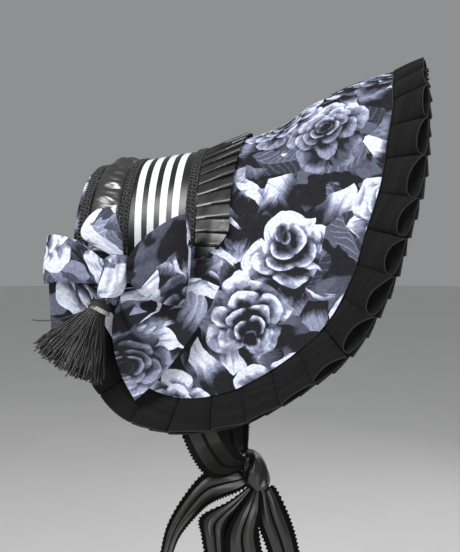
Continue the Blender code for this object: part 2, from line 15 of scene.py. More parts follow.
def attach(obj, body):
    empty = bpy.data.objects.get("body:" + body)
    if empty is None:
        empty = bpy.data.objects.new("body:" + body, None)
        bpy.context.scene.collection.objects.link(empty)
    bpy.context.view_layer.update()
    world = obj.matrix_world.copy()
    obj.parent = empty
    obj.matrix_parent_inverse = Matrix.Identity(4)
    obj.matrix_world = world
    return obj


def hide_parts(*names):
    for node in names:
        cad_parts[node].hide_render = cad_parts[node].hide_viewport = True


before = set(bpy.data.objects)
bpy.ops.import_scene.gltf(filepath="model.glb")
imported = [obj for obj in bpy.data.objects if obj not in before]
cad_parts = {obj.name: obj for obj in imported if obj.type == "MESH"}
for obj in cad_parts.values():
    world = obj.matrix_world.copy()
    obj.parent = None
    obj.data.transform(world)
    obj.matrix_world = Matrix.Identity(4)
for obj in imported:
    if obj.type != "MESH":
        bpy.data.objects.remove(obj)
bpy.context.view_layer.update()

bl_info = {
    "name": "Frilled Bonnet",
    "version": (1, 0, 0),
    "blender": (4, 5, 0),
    "location": "3D View > Sidebar > Bonnet",
    "description": "Dresses a frilled bonnet with print cotton, pleats, braids, a bow with a tassel, and ties",
    "category": "Object",
}

MM = 0.001
GAP = 0.3

# The materials. Each ring of a printed rose has its share of the rose's radius, its petals and how bright its
# rim is. The threads and ribs have their widths in metres, and KNOT_CLOTH is how much cloth lies round a knot
# and down it.
PRINT_COLOURS = ("Ground", "Slate", "Lavender", "Petal")
ROSE_RINGS = ((1.0, 5, 0.95), (0.76, 5, 1.0), (0.55, 4, 0.9), (0.37, 3, 1.0), (0.20, 3, 0.62))
CLOUD_RANGE = (0.3, 0.7)
CLOTH_THREAD = 0.0009
LINING_THREAD = 0.0010
STRIPE_THREAD = 0.0008
SATIN_THREAD = 0.0007
PRESSED_THREAD = 0.0006
TIE_RIB = 0.0011
BRAID_TWIST = 0.0011
TASSEL_TWIST = 0.0012
# The lint's colour also paints the highlight along the frill's hem.
LINT_AND_HIGHLIGHT_COLOUR = (0.30, 0.30, 0.31, 1.0)
LINING_COLOUR = (0.020, 0.020, 0.022, 1.0)
KNOT_CLOTH = (0.055, 0.03)

# The crown and its back panel.
CROWN_RADIUS = 76.0
CROWN_TOP = 2.0
CROWN_SLOPE = 0.15
CROWN_FRONT = -38.0
CROWN_BACK = 70.0
CROWN_WALL = 2.0
HEM_AT_FRONT = -64.0
HEM_SLOPE = -0.587
BACK_PANEL_AT = 66.5
BACK_PANEL_DOME = 5.0
BACK_PANEL_DOME_SHARE = 0.9
BACK_PANEL_WALL = 1.2
BACK_NOTCH_SHARE = 0.12
BACK_GATHERS = 30
BACK_GATHER_DEPTH = 0.5
BACK_FAN_RADIUS = 9.0

# The brim and its frill.
BRIM_WALL = 2.0
BRIM_ROOT_GAP = 0.5
BRIM_DIP = 4.5
BRIM_DIP_FROM = 0.06
BRIM_DIP_TO = 0.51
BRIM_DIP_REACH = 0.6
BRIM_ROW_PACING = 1.3
BRIM_CREST = 4.0
BRIM_CREST_REACH = 0.22
BRIM_CREST_FROM = 0.4
BRIM_FAN_RADIUS = 77.0
BRIM_FAN_ANGLE = 5.0
BRIM_SOFTNESS = 0.55
BRIM_EDGE_PUCKER = 0.28
BRIM_ROOT_PUCKER = 0.35
FRILL_WALL = 0.6
FRILL_START = 1.3
FRILL_RISE_AT_SEAM = 3.0
FRILL_SETBACK = 3.2
FRILL_TUCK = 2.2
FRILL_TOP_SHARE = 0.78
FRILL_TOP_UNTIL = 0.15
FRILL_FULL_FROM = 0.31
BOX_OPEN_FROM = 0.20
BOX_OPEN_TO = 0.38
BOX_OPEN_LEAST = 0.12
BOX_OPEN_MOST = 1.12
BOX_FLAT_FROM = 0.50
BOX_FLAT_AT = 0.66
BOX_FLATTEN = 0.85

# The trims across the crown.
SATIN_FRILL_ROOT = -21.0
SATIN_FRILL_WALL = 0.6
SATIN_FRILL_REACH_TOP = -54.0
SATIN_FRILL_REACH_SIDE = -45.5
SATIN_FRILL_REACH_PACE = 1.4
SATIN_FRILL_PAST_HEM = 6.0
SATIN_FRILL_CORNER_FROM = 0.82
SATIN_FRILL_CORNER_CUT = 0.85
SATIN_FRILL_FAN = 4.0
SATIN_FRILL_FAN_TURNS = 0.85
SATIN_FRILL_RISE_ROOT = 0.8
SATIN_FRILL_RISE_MIDDLE = 2.9
SATIN_FRILL_RISE_HEM = 2.4
SATIN_FRILL_MIDDLE = 0.45
SATIN_FRILL_CLIMB = 4.6
SATIN_FRILL_CLIMB_FROM = 0.8
TRIM_END_GAP = 5.0
TRIM_LIFT = 0.45
BRAID_WIDTH = 7.0
BRAID_TAPE_INSET = 0.5
BRAID_TAPE_WALL = 0.5
BRAID_PAIRS = ((-1.75, 0.0), (1.75, math.pi / 2))
BRAID_LOOP_LIFT = 0.7
BRAID_SWAY = 1.5
BRAID_WEAVE = 0.5
BRAID_STEPS = 5
BRAIDS = {"braid_front": -20.0, "braid_middle": 29.3, "braid_back": 60.0}
RIBBON_WALL = 0.7
RIBBON_WAVE = 0.35
STRIPE_MARGIN = 5.6
STRIPE_WIDTH = 5.4
STRIPE_PERIOD = 9.9
STRIPE_BLUR = 0.25
SATIN_BAND_WALL = 0.7
SATIN_BAND_INSET = 1.0
SATIN_BAND_PUFF_TOP = 5.0
SATIN_BAND_PUFF_SIDE = 2.0
SATIN_BAND_PUFF_REACH = 110.0
BAND_FOLD = 19.0
BAND_SLANT = -11.0

# The bow, the tassel and the ties.
BOW_WALL = 1.0
TIE_WALL = 0.7
TIE_WIDTH = 27.0
TIE_PUFF = 1.5
TIE_STRIPE_FROM = 1.1
TIE_STRIPE_TO = 8.5
TIE_ROWS = 22
PICOT_COLUMNS = 6
CAP_RADIUS = 8.6
CAP_LENGTH = 9.0
CAP_WALL = 1.0
CAP_FLUTE = 0.035
CAP_BEAD = 0.03
SKIRT_LENGTH = 52.0
SKIRT_FAN = 30.0
SKIRT_HEAD_RADIUS = 6.3
SKIRT_START = 3.4
SKIRT_THINNING = 0.6
THREAD_KINK = 3.0
THREAD_STEPS = 17
TASSEL_TOP = (-96.6, 40.8, -108.4)
TASSEL_AXIS = (-0.16, 0.46, -0.87)

# The cap's outline: radius and height.
CAP_PROFILE = (
    (0.0, 0.0),
    (1.7, 0.0),
    (2.3, -0.5),
    (2.1, -1.3),
    (3.6, -1.7),
    (CAP_RADIUS * 0.72, -2.4),
    (CAP_RADIUS * 0.90, -3.6),
    (CAP_RADIUS * 0.94, -4.6),
    (CAP_RADIUS * 0.90, -5.2),
    (CAP_RADIUS * 0.97, -5.8),
    (CAP_RADIUS * 1.0, -7.2),
    (CAP_RADIUS * 1.05, -8.0),
    (CAP_RADIUS * 1.07, -8.6),
    (CAP_RADIUS * 1.02, -CAP_LENGTH),
    (CAP_RADIUS - CAP_WALL, -CAP_LENGTH),
    (CAP_RADIUS - CAP_WALL, -5.0),
    (CAP_RADIUS * 0.68, -3.2),
    (0.0, -3.2),
)

# Half of the brim, from the top of the head to the nape. root_y and root_run place the root on the crown,
# root_run is the distance down the arch from its top. flare turns the frill outward from the brim, in
# degrees.
BRIM_COLUMNS = ("share", "root_y", "root_run", "edge_x", "edge_y", "edge_z", "flare")
BRIM_ROWS = (
    (0.000, -35.0, 0.0, 0.0, -161.0, 64.5, -12.0),
    (0.094, -35.0, 28.0, 45.0, -160.0, 54.5, -9.0),
    (0.163, -35.0, 46.0, 73.5, -157.2, 39.5, -2.0),
    (0.220, -35.0, 60.0, 90.5, -156.0, 21.5, 6.0),
    (0.277, -35.0, 74.0, 102.0, -152.0, -3.0, 9.0),
    (0.340, -35.0, 88.0, 108.4, -147.4, -32.0, 9.0),
    (0.414, -34.6, 101.0, 111.4, -137.0, -66.0, 9.0),
    (0.464, -31.0, 111.0, 111.4, -130.4, -89.0, 12.0),
    (0.536, -21.0, 119.0, 108.4, -115.0, -120.0, 20.0),
    (0.605, -11.0, 123.6, 102.8, -92.6, -143.0, 30.0),
    (0.674, -1.5, 127.8, 95.6, -66.0, -162.0, 36.0),
    (0.726, 8.0, 132.0, 89.5, -44.3, -173.0, 40.0),
    (0.784, 18.0, 136.4, 86.5, -17.0, -178.4, 43.0),
    (0.840, 27.0, 140.3, 82.5, 6.5, -175.0, 40.0),
    (0.882, 33.0, 142.9, 79.5, 20.5, -167.0, 36.0),
    (0.922, 36.5, 144.4, 78.0, 30.0, -155.0, 28.0),
    (0.962, 39.5, 145.8, 78.2, 38.5, -140.5, 18.0),
    (1.000, 42.0, 146.9, 79.0, 47.5, -125.0, 12.0),
)

# One box pleat in section: the place along the seam, in pleats, from its lower fold up, the rise, from 0 to
# 1, and how far the free edge reaches out there, in mm.
BOX_FOLD_ROWS = (
    (0.00, 0.02, -0.9),
    (0.03, 0.03, 1.3),
    (0.24, 0.08, 0.7),
    (0.42, 0.03, 0.0),
    (0.52, 0.00, -0.5),
    (0.50, 0.06, -0.8),
    (0.36, 0.12, -0.9),
    (0.20, 0.18, -1.0),
    (0.06, 0.26, -1.6),
    (0.015, 0.36, -3.0),
    (0.02, 0.48, -5.2),
    (0.08, 0.66, -6.4),
    (0.20, 0.86, -7.0),
    (0.36, 0.97, -7.2),
    (0.52, 1.00, -6.6),
    (0.67, 0.95, -5.4),
    (0.80, 0.82, -3.8),
    (0.91, 0.62, -2.2),
    (0.975, 0.46, -1.0),
    (0.985, 0.34, -0.6),
    (0.94, 0.26, -0.5),
    (0.80, 0.18, -0.6),
    (0.64, 0.13, -0.8),
    (0.50, 0.10, -0.9),
    (0.48, 0.05, -0.6),
    (0.53, 0.02, 1.4),
    (0.76, 0.07, 0.5),
)

# One knife pleat in section: the place along the seam, in pleats, and the rise, from 0 to 1.
KNIFE_FOLD_ROWS = (
    (0.00, 0.00),
    (0.15, 0.12),
    (0.04, 0.58),
    (0.04, 0.90),
    (0.09, 1.03),
    (0.20, 0.97),
    (0.40, 0.76),
    (0.63, 0.47),
    (0.86, 0.17),
)

# Crosswise lines of each ribbon of the bow, from the knot outward. out is the distance to the wearer's right,
# and puff lifts the middle of the line.
LINE_COLUMNS = ("y_1", "z_1", "out_1", "y_2", "z_2", "out_2", "puff")
BOW_RIBBONS = {
    "bow_loop_right": (
        (25.0, -82.0, 95.0, 24.0, -96.0, 95.0, 0.0),
        (12.0, -67.0, 101.0, 10.0, -106.0, 100.0, 3.0),
        (-5.0, -55.0, 102.0, -4.0, -111.0, 101.0, 4.0),
        (-15.0, -50.0, 99.0, -13.0, -112.0, 98.0, 2.0),
        (-17.5, -51.0, 94.0, -15.0, -111.0, 94.0, 0.0),
        (-13.0, -54.0, 91.2, -11.0, -108.0, 91.2, 0.0),
        (-4.0, -60.0, 90.5, -2.0, -104.0, 90.5, 0.0),
        (12.0, -72.0, 89.0, 12.0, -99.0, 89.0, 0.0),
        (24.5, -84.0, 89.5, 24.0, -93.0, 89.5, 0.0),
    ),
    "bow_loop_left": (
        (40.6, -82.0, 95.0, 45.0, -97.0, 95.0, 0.0),
        (56.0, -69.0, 99.0, 59.0, -96.5, 98.0, 2.0),
        (70.0, -64.0, 99.5, 74.0, -96.0, 98.0, 3.0),
        (79.0, -63.5, 97.0, 83.0, -97.5, 95.5, 1.0),
        (81.0, -64.5, 92.5, 85.0, -98.0, 91.5, 0.0),
        (76.0, -67.0, 89.5, 80.0, -96.5, 88.5, 0.0),
        (62.0, -73.0, 88.5, 66.0, -95.0, 88.5, 0.0),
        (41.8, -84.0, 89.5, 44.8, -94.5, 89.5, 0.0),
    ),
    "bow_loop_upper": (
        (36.0, -76.8, 95.5, 27.0, -76.8, 95.5, 0.0),
        (54.0, -65.0, 101.0, 27.0, -64.0, 100.0, 2.0),
        (52.0, -54.0, 101.0, 31.0, -51.0, 100.0, 2.0),
        (45.0, -46.5, 98.0, 36.0, -45.0, 97.0, 0.0),
        (45.0, -47.0, 93.0, 36.0, -45.5, 93.0, 0.0),
        (49.0, -55.0, 90.0, 33.0, -53.0, 90.0, 0.0),
        (48.0, -65.0, 89.5, 30.0, -64.0, 89.5, 0.0),
        (36.0, -76.8, 90.0, 28.0, -76.8, 90.0, 0.0),
    ),
    "bow_tail_right": (
        (29.2, -101.0, 86.0, 33.5, -107.8, 87.0, 0.0),
        (8.0, -99.0, 84.8, 37.0, -128.0, 86.5, 0.0),
        (-8.0, -96.0, 84.8, 34.5, -146.0, 87.0, 0.6),
        (-24.0, -93.5, 86.8, 28.5, -163.0, 88.5, 1.5),
        (-40.0, -99.0, 91.0, 19.0, -179.0, 91.0, 2.0),
    ),
    "bow_tail_left": (
        (45.6, -101.0, 84.5, 44.6, -108.6, 84.8, 0.0),
        (59.0, -98.0, 83.5, 52.0, -124.0, 84.5, 0.0),
        (72.0, -93.5, 83.8, 64.0, -134.0, 85.5, 0.0),
        (85.0, -91.0, 86.0, 82.0, -139.0, 87.5, 0.0),
    ),
}

# How each bow ribbon folds and where its cloth was cut: the number of folds, their depth, how far from the
# knot they fade, how far its end bulges, the turn and place of the cut on the print, and how much paler the
# print is there.
BOW_CUT_COLUMNS = ("folds", "depth", "fade", "bulge", "turn", "cut_u", "cut_v", "lift")
BOW_CUTS = {
    "bow_loop_right": (1.6, 3.2, 0.24, -3.6, 1.9, 0.470, 0.330, -0.04),
    "bow_loop_left": (1.5, 2.6, 0.20, 1.5, 1.1, 0.210, 0.060, 0.12),
    "bow_loop_upper": (1.4, 1.5, 0.18, 0.0, 2.1, 0.333, 0.241, 0.24),
    "bow_tail_right": (2.0, 6.0, 1.60, -4.5, 1.5, 0.270, 0.400, -0.10),
    "bow_tail_left": (1.5, 1.4, 0.50, 0.0, 1.7, 0.055, 0.225, 0.0),
}

# Rings of a closed form: height, centre, and the two half widths.
RING_COLUMNS = ("z", "y", "out", "half_y", "half_out")
BOW_KNOT_ROWS = (
    (-77.3, 31.5, 91.5, 5.5, 6.0),
    (-80.0, 32.3, 91.0, 7.6, 9.5),
    (-86.0, 33.6, 90.4, 8.2, 11.0),
    (-92.0, 35.0, 90.2, 8.4, 11.1),
    (-98.0, 36.8, 90.3, 8.8, 11.0),
    (-104.0, 38.6, 90.8, 8.2, 9.0),
    (-107.0, 39.2, 92.5, 6.0, 6.5),
)
TIE_KNOT_ROWS = (
    (-237.5, -50.0, 0.0, 5.0, 7.0),
    (-241.0, -51.0, 0.0, 8.0, 10.0),
    (-248.0, -53.0, 0.0, 9.3, 11.5),
    (-255.0, -55.5, 0.0, 9.3, 12.0),
    (-262.0, -57.5, 0.0, 8.6, 11.0),
    (-266.5, -58.5, 0.0, 7.5, 9.0),
)

KNOT_MIDDLE = (-55.0, -254.0)
KNOT_NEAR = 16.0
KNOT_PULL = 3.5
KNOT_PULL_SHARE = 0.12

# Crosswise lines of the free ends and loops of the ties, from the knot down.
TIE_RIBBONS = {
    "tie_tail_back": (
        (-50.1, -265.9, 8.0, -44.6, -253.1, 2.5, 0.0),
        (-33.6, -271.0, 12.0, -31.1, -250.4, 11.0, 1.0),
        (-20.3, -277.1, 15.0, -17.8, -250.3, 24.0, 1.5),
        (-9.3, -287.4, 17.0, -3.5, -266.3, 33.0, 1.5),
        (2.1, -301.7, 17.0, 8.2, -287.1, 38.0, 1.0),
        (7.9, -314.2, 17.0, 13.6, -309.0, 39.0, 1.0),
        (11.2, -327.5, 17.0, 17.1, -330.9, 38.0, 0.0),
    ),
    "tie_loop_back": (
        (-52.5, -266.9, 6.5, -55.0, -266.9, 5.5, 0.0),
        (-35.1, -275.1, 16.5, -45.7, -280.4, 11.5, 0.5),
        (-15.0, -285.4, 22.0, -37.9, -294.6, 13.5, 2.0),
        (-16.1, -299.8, 24.0, -36.3, -309.1, 14.0, 2.0),
        (-19.0, -318.1, 22.0, -36.3, -323.9, 13.5, 1.0),
        (-20.6, -329.0, 17.0, -34.9, -330.5, 9.5, 0.0),
        (-21.8, -329.0, 9.0, -35.8, -328.6, 4.0, 0.0),
        (-23.0, -311.8, 6.5, -36.4, -310.4, 2.0, 0.0),
        (-27.2, -291.9, 6.5, -38.8, -290.5, 2.0, 0.0),
        (-40.9, -274.6, 5.0, -46.2, -276.2, 2.0, 0.0),
        (-52.5, -266.9, 2.5, -55.0, -266.9, 1.0, 0.0),
    ),
    "tie_loop_front": (
        (-56.2, -266.9, 6.5, -61.0, -266.9, 5.8, 0.0),
        (-44.0, -281.0, 18.0, -61.6, -282.4, 12.0, 1.0),
        (-35.4, -297.4, 21.0, -59.6, -299.5, 13.5, 2.0),
        (-34.6, -314.6, 20.5, -62.9, -317.2, 12.5, 2.0),
        (-37.3, -327.9, 15.5, -64.1, -329.7, 9.5, 0.0),
        (-38.0, -332.4, 8.5, -63.5, -333.9, 3.5, 0.0),
        (-39.7, -325.9, 2.0, -61.3, -326.8, -3.0, 0.0),
        (-40.1, -309.7, -1.0, -58.6, -310.7, -6.0, 0.0),
        (-43.4, -292.1, -1.0, -56.1, -294.0, -5.5, 0.0),
        (-50.9, -278.3, 0.0, -57.3, -277.8, -2.0, 0.0),
        (-57.2, -266.9, 0.5, -60.5, -266.9, -1.0, 0.0),
    ),
    "tie_tail_front": (
        (-61.5, -267.2, 3.8, -65.2, -268.6, 0.0, 0.0),
        (-59.6, -278.4, 6.0, -71.2, -266.2, -1.0, 0.5),
        (-59.8, -295.1, 7.0, -80.8, -285.7, -4.0, 1.5),
        (-65.3, -311.9, 5.0, -87.2, -304.6, -7.0, 1.5),
        (-70.8, -331.3, 3.0, -91.3, -323.5, -9.0, 0.0),
    ),
}

# The strap of the wearer's right, from the inside of the brim to the knot. The other one mirrors it.
STRAP_INSIDE = (0.86, 0.93, 1.0)
STRAP_CLEAR = 3.0
STRAP_CLEAR_AT_EDGE = 5.4
STRAP_SHARE_1 = 0.796
STRAP_SHARE_2 = 0.736
STRAP_ROWS = (
    (-6.5, -194.0, 77.5, -37.0, -192.0, 79.0, 0.0),
    (-11.1, -212.6, 68.0, -41.6, -208.9, 70.0, 1.0),
    (-14.2, -232.0, 48.0, -45.0, -221.7, 51.0, 1.0),
    (-20.4, -248.4, 30.0, -46.5, -232.0, 32.0, 0.0),
    (-31.1, -254.3, 17.0, -47.3, -237.2, 18.5, 0.0),
    (-43.4, -250.5, 7.2, -48.5, -240.5, 10.2, 0.0),
)

# The photographed view: what the camera looks at, its direction, and how far away it is.
VIEW_TARGET = (0.0, -35.3, -95.0)
VIEW_AZIMUTH = -82.5
VIEW_ELEVATION = 2.0
VIEW_DISTANCE = 620.0
VIEW_LENS = 50.0

# Each light's direction from the bonnet, its distance and size in metres, and its power in watts. The floor's
# two sizes are in metres too.
LIGHTS = {
    "key": ((-0.585, 0.19, 0.79), 1.6, 0.8, 21.0),
    "front": ((-0.80, -0.58, 0.12), 1.9, 1.6, 21.0),
    "fill": ((-0.62, 0.72, 0.25), 1.8, 1.0, 17.0),
    "far": ((0.85, -0.45, 0.40), 1.8, 1.4, 6.0),
}
FLOOR_RADIUS = 14.0
FLOOR_HEIGHT = -0.75
ROOM_COLOUR = (0.86, 0.87, 0.88, 1.0)
ROOM_STRENGTH = 0.32


def length_setting(name, description, default):
    return bpy.props.FloatProperty(
        name=name, description=description, default=default, min=0.0, precision=4, unit="LENGTH",
        subtype="DISTANCE"
    )


def count_setting(name, description, default):
    return bpy.props.IntProperty(name=name, description=description, default=default, min=1)


def colour_setting(name, description, default):
    return bpy.props.FloatVectorProperty(
        name=name, description=description, default=default, size=3, min=0.0, max=1.0, subtype="COLOR"
    )


class BonnetSizes(bpy.types.PropertyGroup):
    """Sizes of the bonnet's cloth and trims"""

    frill_depth: length_setting("Frill depth", "From the brim's seam to the frill's hem", 0.028)
    frill_rise: length_setting("Box rise", "How far a box pleat stands off its back layer at the hem", 0.0095)
    box_count: count_setting("Box pleats", "Box pleats round the whole brim", 40)
    knife_count: count_setting("Knife pleats", "Pleats of the satin frill", 28)
    knife_rise: length_setting("Knife rise", "How far a knife pleat stands up at its hem", 0.0030)
    gather_depth: length_setting("Gathers", "Depth of the gathers in the satin band", 0.0011)
    motif: length_setting("Print scale", "Size of one motif of the print", 0.058)
    braid_loop: length_setting("Braid loop", "Length of one loop of the gimp braid", 0.0062)
    braid_yarn: length_setting("Braid yarn", "Radius of the gimp braid's yarn", 0.00068)
    picot_pitch: length_setting("Picot pitch", "Distance between the picots of the ties", 0.0029)
    picot_reach: length_setting("Picot reach", "How far a picot stands off the ribbon", 0.0013)
    thread_count: count_setting("Tassel threads", "Threads of the tassel", 250)
    thread_radius: length_setting("Tassel thread", "Radius of one thread of the tassel", 0.00050)


class BonnetColours(bpy.types.PropertyGroup):
    """Colours of the bonnet's cloth and trims"""

    print_ground: colour_setting("Print ground", "Darkest colour of the print", (0.016, 0.016, 0.019))
    print_slate: colour_setting("Print slate", "Leaf colour of the print", (0.066, 0.071, 0.100))
    print_lavender: colour_setting("Print lavender", "Shaded petal colour of the print", (0.21, 0.228, 0.318))
    print_petal: colour_setting("Print petal", "Palest petal colour of the print", (0.56, 0.59, 0.69))
    cotton_black: colour_setting("Black cotton", "Colour of the box-pleated frill", (0.0065, 0.0065, 0.0070))
    satin_black: colour_setting("Black satin", "Colour of the satin trims", (0.0045, 0.0044, 0.0042))
    stripe_white: colour_setting("White stripe", "Colour of the ribbon's stripes", (0.64, 0.66, 0.69))
    yarn_black: colour_setting("Black yarn", "Colour of the braids and the tassel", (0.0085, 0.0082, 0.0080))
    metal_light: colour_setting("Metal", "Worn colour of the tassel's cap", (0.36, 0.335, 0.30))
    # The tarnish colour also paints the shadow over the cap's upper part.
    metal_tarnish_and_shadow: colour_setting("Tarnish", "Colour in the cap's hollows", (0.012, 0.011, 0.010))
    backdrop: colour_setting("Floor", "Colour of the floor", (0.80, 0.80, 0.79))


def row_at(columns, rows, share):
    """The row at a share of the table, on a smooth curve through the rows. A first column named share paces
    it."""
    paced = columns[0] == "share"
    places = [row[0] if paced else k / (len(rows) - 1) for k, row in enumerate(rows)]
    k = max(i for i in range(len(rows) - 1) if share >= places[i] or i == 0)
    first, last = max(k - 1, 0), min(k + 2, len(rows) - 1)
    step = places[k + 1] - places[k]
    t = (share - places[k]) / step
    t2, t3 = t * t, t * t * t
    values = {}
    for label, p0, p1, p2, p3 in zip(columns, rows[first], rows[k], rows[k + 1], rows[last]):
        m1 = (p2 - p0) / (places[k + 1] - places[first]) * step
        m2 = (p3 - p1) / (places[last] - places[k]) * step
        values[label] = (
            (2 * t3 - 3 * t2 + 1) * p1 + (t3 - 2 * t2 + t) * m1 + (3 * t2 - 2 * t3) * p2 + (t3 - t2) * m2
        )
    return values


def wander(x, y, seed):
    """A smooth, fixed unevenness from -1 to 1."""
    return noise.noise(Vector((x, y, seed * 7.31)))


def ramp(value, low, high):
    """From 0 at low to 1 at high, and level beyond them."""
    return min(max((value - low) / (high - low), 0.0), 1.0)


def eased(value, low, high):
    """A ramp with soft ends."""
    t = ramp(value, low, high)
    return t * t * (3 - 2 * t)


def mixed(low, high, share):
    return low + (high - low) * share


def crown_centre(y):
    """Height of the arch's centre at y."""
    return CROWN_TOP - CROWN_SLOPE * y - CROWN_RADIUS


def hem_height(y):
    return HEM_AT_FRONT + HEM_SLOPE * (y - CROWN_FRONT)


def crown_reach(y):
    """Distance down the arch from its top to the lower hem."""
    below = crown_centre(y) - hem_height(y)
    if below >= 0:
        return CROWN_RADIUS * math.pi / 2 + below
    return CROWN_RADIUS * math.acos(-below / CROWN_RADIUS)


def crown_point(y, run, lift=0.0):
    """A point on the crown's outer face, run along the arch from its top, negative to the wearer's right."""
    side = -1 if run < 0 else 1
    quarter = CROWN_RADIUS * math.pi / 2
    down = abs(run)
    radius = CROWN_RADIUS + lift
    if down < quarter:
        angle = down / CROWN_RADIUS
        return Vector((side * radius * math.sin(angle), y, crown_centre(y) + radius * math.cos(angle)))
    return Vector((side * radius, y, crown_centre(y) - (down - quarter)))


def brim_outer(along, outward):
    """A point on the brim's outer face. along runs from -1 to 1, and outward from the root at 0 to the edge
    at 1."""
    side = -1 if along < 0 else 1
    row = row_at(BRIM_COLUMNS, BRIM_ROWS, abs(along))
    root = crown_point(row["root_y"], side * row["root_run"], BRIM_ROOT_GAP + BRIM_WALL)
    edge = Vector((side * row["edge_x"], row["edge_y"], row["edge_z"]))
    dip = BRIM_DIP * math.sin(math.pi * ramp(outward, BRIM_DIP_FROM, BRIM_DIP_TO))
    crest = BRIM_CREST * math.sin(math.pi * ramp(outward, BRIM_CREST_FROM, 1.0))
    dip *= max(1 - abs(along) / BRIM_DIP_REACH, 0.0)
    crest *= max(1 - abs(along) / BRIM_CREST_REACH, 0.0)
    radial = Vector((root.x, 0.0, root.z - crown_centre(root.y))).normalized()
    return root.lerp(edge, outward) + radial * (crest - dip)


def brim_frame(along):
    """The brim's edge there, with its unit directions out of the surface and outward."""
    step = 0.004
    low, high = max(along - step, -1.0), min(along + step, 1.0)
    tangent = (brim_outer(high, 1.0) - brim_outer(low, 1.0)).normalized()
    inward = (brim_outer(along, 0.93) - brim_outer(along, 1.0)).normalized()
    normal = tangent.cross(inward).normalized()
    outward = normal.cross(tangent).normalized()
    if outward.dot(inward) > 0:
        outward = -outward
    return brim_outer(along, 1.0), normal, outward


class Value:
    """What a node's socket gives. Arithmetic and comparisons with values are math nodes of the same tree."""

    def __init__(self, wires, socket):
        self.wires = wires
        self.socket = socket

    def __add__(self, other):
        return self.wires.math("ADD", self, other)

    def __sub__(self, other):
        return self.wires.math("SUBTRACT", self, other)

    def __mul__(self, other):
        return self.wires.math("MULTIPLY", self, other)

    def __truediv__(self, other):
        return self.wires.math("DIVIDE", self, other)

    def __rtruediv__(self, other):
        return self.wires.math("DIVIDE", other, self)

    def __gt__(self, other):
        return self.wires.math("GREATER_THAN", self, other)

    def __lt__(self, other):
        return self.wires.math("LESS_THAN", self, other)

    def __abs__(self):
        return self.wires.math("ABSOLUTE", self)


class Outputs:
    """The outputs of a node as values, by name or by number."""

    def __init__(self, wires, sockets):
        self.wires = wires
        self.sockets = sockets

    def __getitem__(self, key):
        return Value(self.wires, self.sockets[key])


class Wiring:
    """Adds nodes to a shader tree and joins them."""

    def __init__(self, tree):
        self.tree = tree

    def put(self, socket, value):
        if isinstance(value, Value):
            self.tree.links.new(value.socket, socket)
        else:
            socket.default_value = value

    def node(self, kind, inputs=(), **settings):
        """Adds a node, with its inputs by name or in order, and gives its outputs."""
        made = self.tree.nodes.new("ShaderNode" + kind)
        for key, value in settings.items():
            setattr(made, key, value)
        for key, value in inputs.items() if isinstance(inputs, dict) else enumerate(inputs):
            self.put(made.inputs[key], value)
        return Outputs(self, made.outputs)

    def math(self, operation, *values, clamp=False):
        return self.node("Math", values, operation=operation, use_clamp=clamp)[0]

    def vector(self, operation, *values):
        return self.node("VectorMath", values, operation=operation)[0]

    def scaled(self, vector, factor):
        return self.node("VectorMath", {"Vector": vector, "Scale": factor}, operation="SCALE")[0]

    def placed(self, vector, scale, by):
        return self.vector("ADD", self.scaled(vector, scale), by)

    def parts(self, vector):
        return self.node("SeparateXYZ", [vector])

    def join(self, x=0.0, y=0.0, z=0.0):
        return self.node("CombineXYZ", (x, y, z))[0]

    def cloud(self, vector, scale, detail=2.0, output="Fac"):
        return self.node("TexNoise", {"Vector": vector, "Scale": scale, "Detail": detail})[output]

    def between(self, value, low, high, to_low=0.0, to_high=1.0):
        """A number that goes smoothly from to_low to to_high while value goes from low to high."""
        inputs = {"Value": value, "From Min": low, "From Max": high, "To Min": to_low, "To Max": to_high}
        return self.node("MapRange", inputs, interpolation_type="SMOOTHSTEP")[0]

    def uneven(self, vector, scale, detail, low, high):
        """Patches that vary between low and high."""
        return self.between(self.cloud(vector, scale, detail), *CLOUD_RANGE, low, high)

    def warped(self, vector, scale, amount):
        swirl = self.vector("SUBTRACT", self.cloud(vector, scale, 1.0, "Color"), (0.5, 0.5, 0.5))
        return self.vector("ADD", vector, self.scaled(swirl, amount))

    def over(self, shown, below, above):
        """A number that is above where shown is 1, and below elsewhere."""
        return self.node("Mix", {"Factor": shown, "A": below, "B": above}, data_type="FLOAT")["Result"]

    def mix(self, factor, colour_1, colour_2, way="MIX"):
        inputs = {"Factor": factor, "A": colour_1, "B": colour_2}
        return self.node("Mix", inputs, data_type="RGBA", blend_type=way)["Result"]

    def toned(self, colour, tone):
        return self.mix(1.0, colour, self.join(tone, tone, tone), "MULTIPLY")

    def cells(self, vector, randomness):
        """Scattered cells: three chances for each, and the place from its middle."""
        inputs = {"Vector": vector, "Scale": 1.0, "Randomness": randomness}
        cell = self.node("TexVoronoi", inputs, voronoi_dimensions="2D")
        return self.parts(cell["Color"]), self.vector("SUBTRACT", vector, cell["Position"])

    def turned(self, vector, angle):
        inputs = {"Vector": vector, "Angle": angle * (2 * math.pi)}
        return self.parts(self.node("VectorRotate", inputs, rotation_type="Z_AXIS")[0])

    def group(self, label, **values):
        inputs = {name.replace("_", " "): value for name, value in values.items()}
        return self.node("Group", inputs, node_tree=shared_group(label))

    def give(self, **results):
        """Adds the outputs of a node group, all of them numbers but Color, and gives the group."""
        for label in results:
            kind = "NodeSocketColor" if label == "Color" else "NodeSocketFloat"
            self.tree.interface.new_socket(name=label, in_out="OUTPUT", socket_type=kind)
        end = self.tree.nodes.new("NodeGroupOutput")
        for label, value in results.items():
            self.put(end.inputs[label], value)
        return self.tree


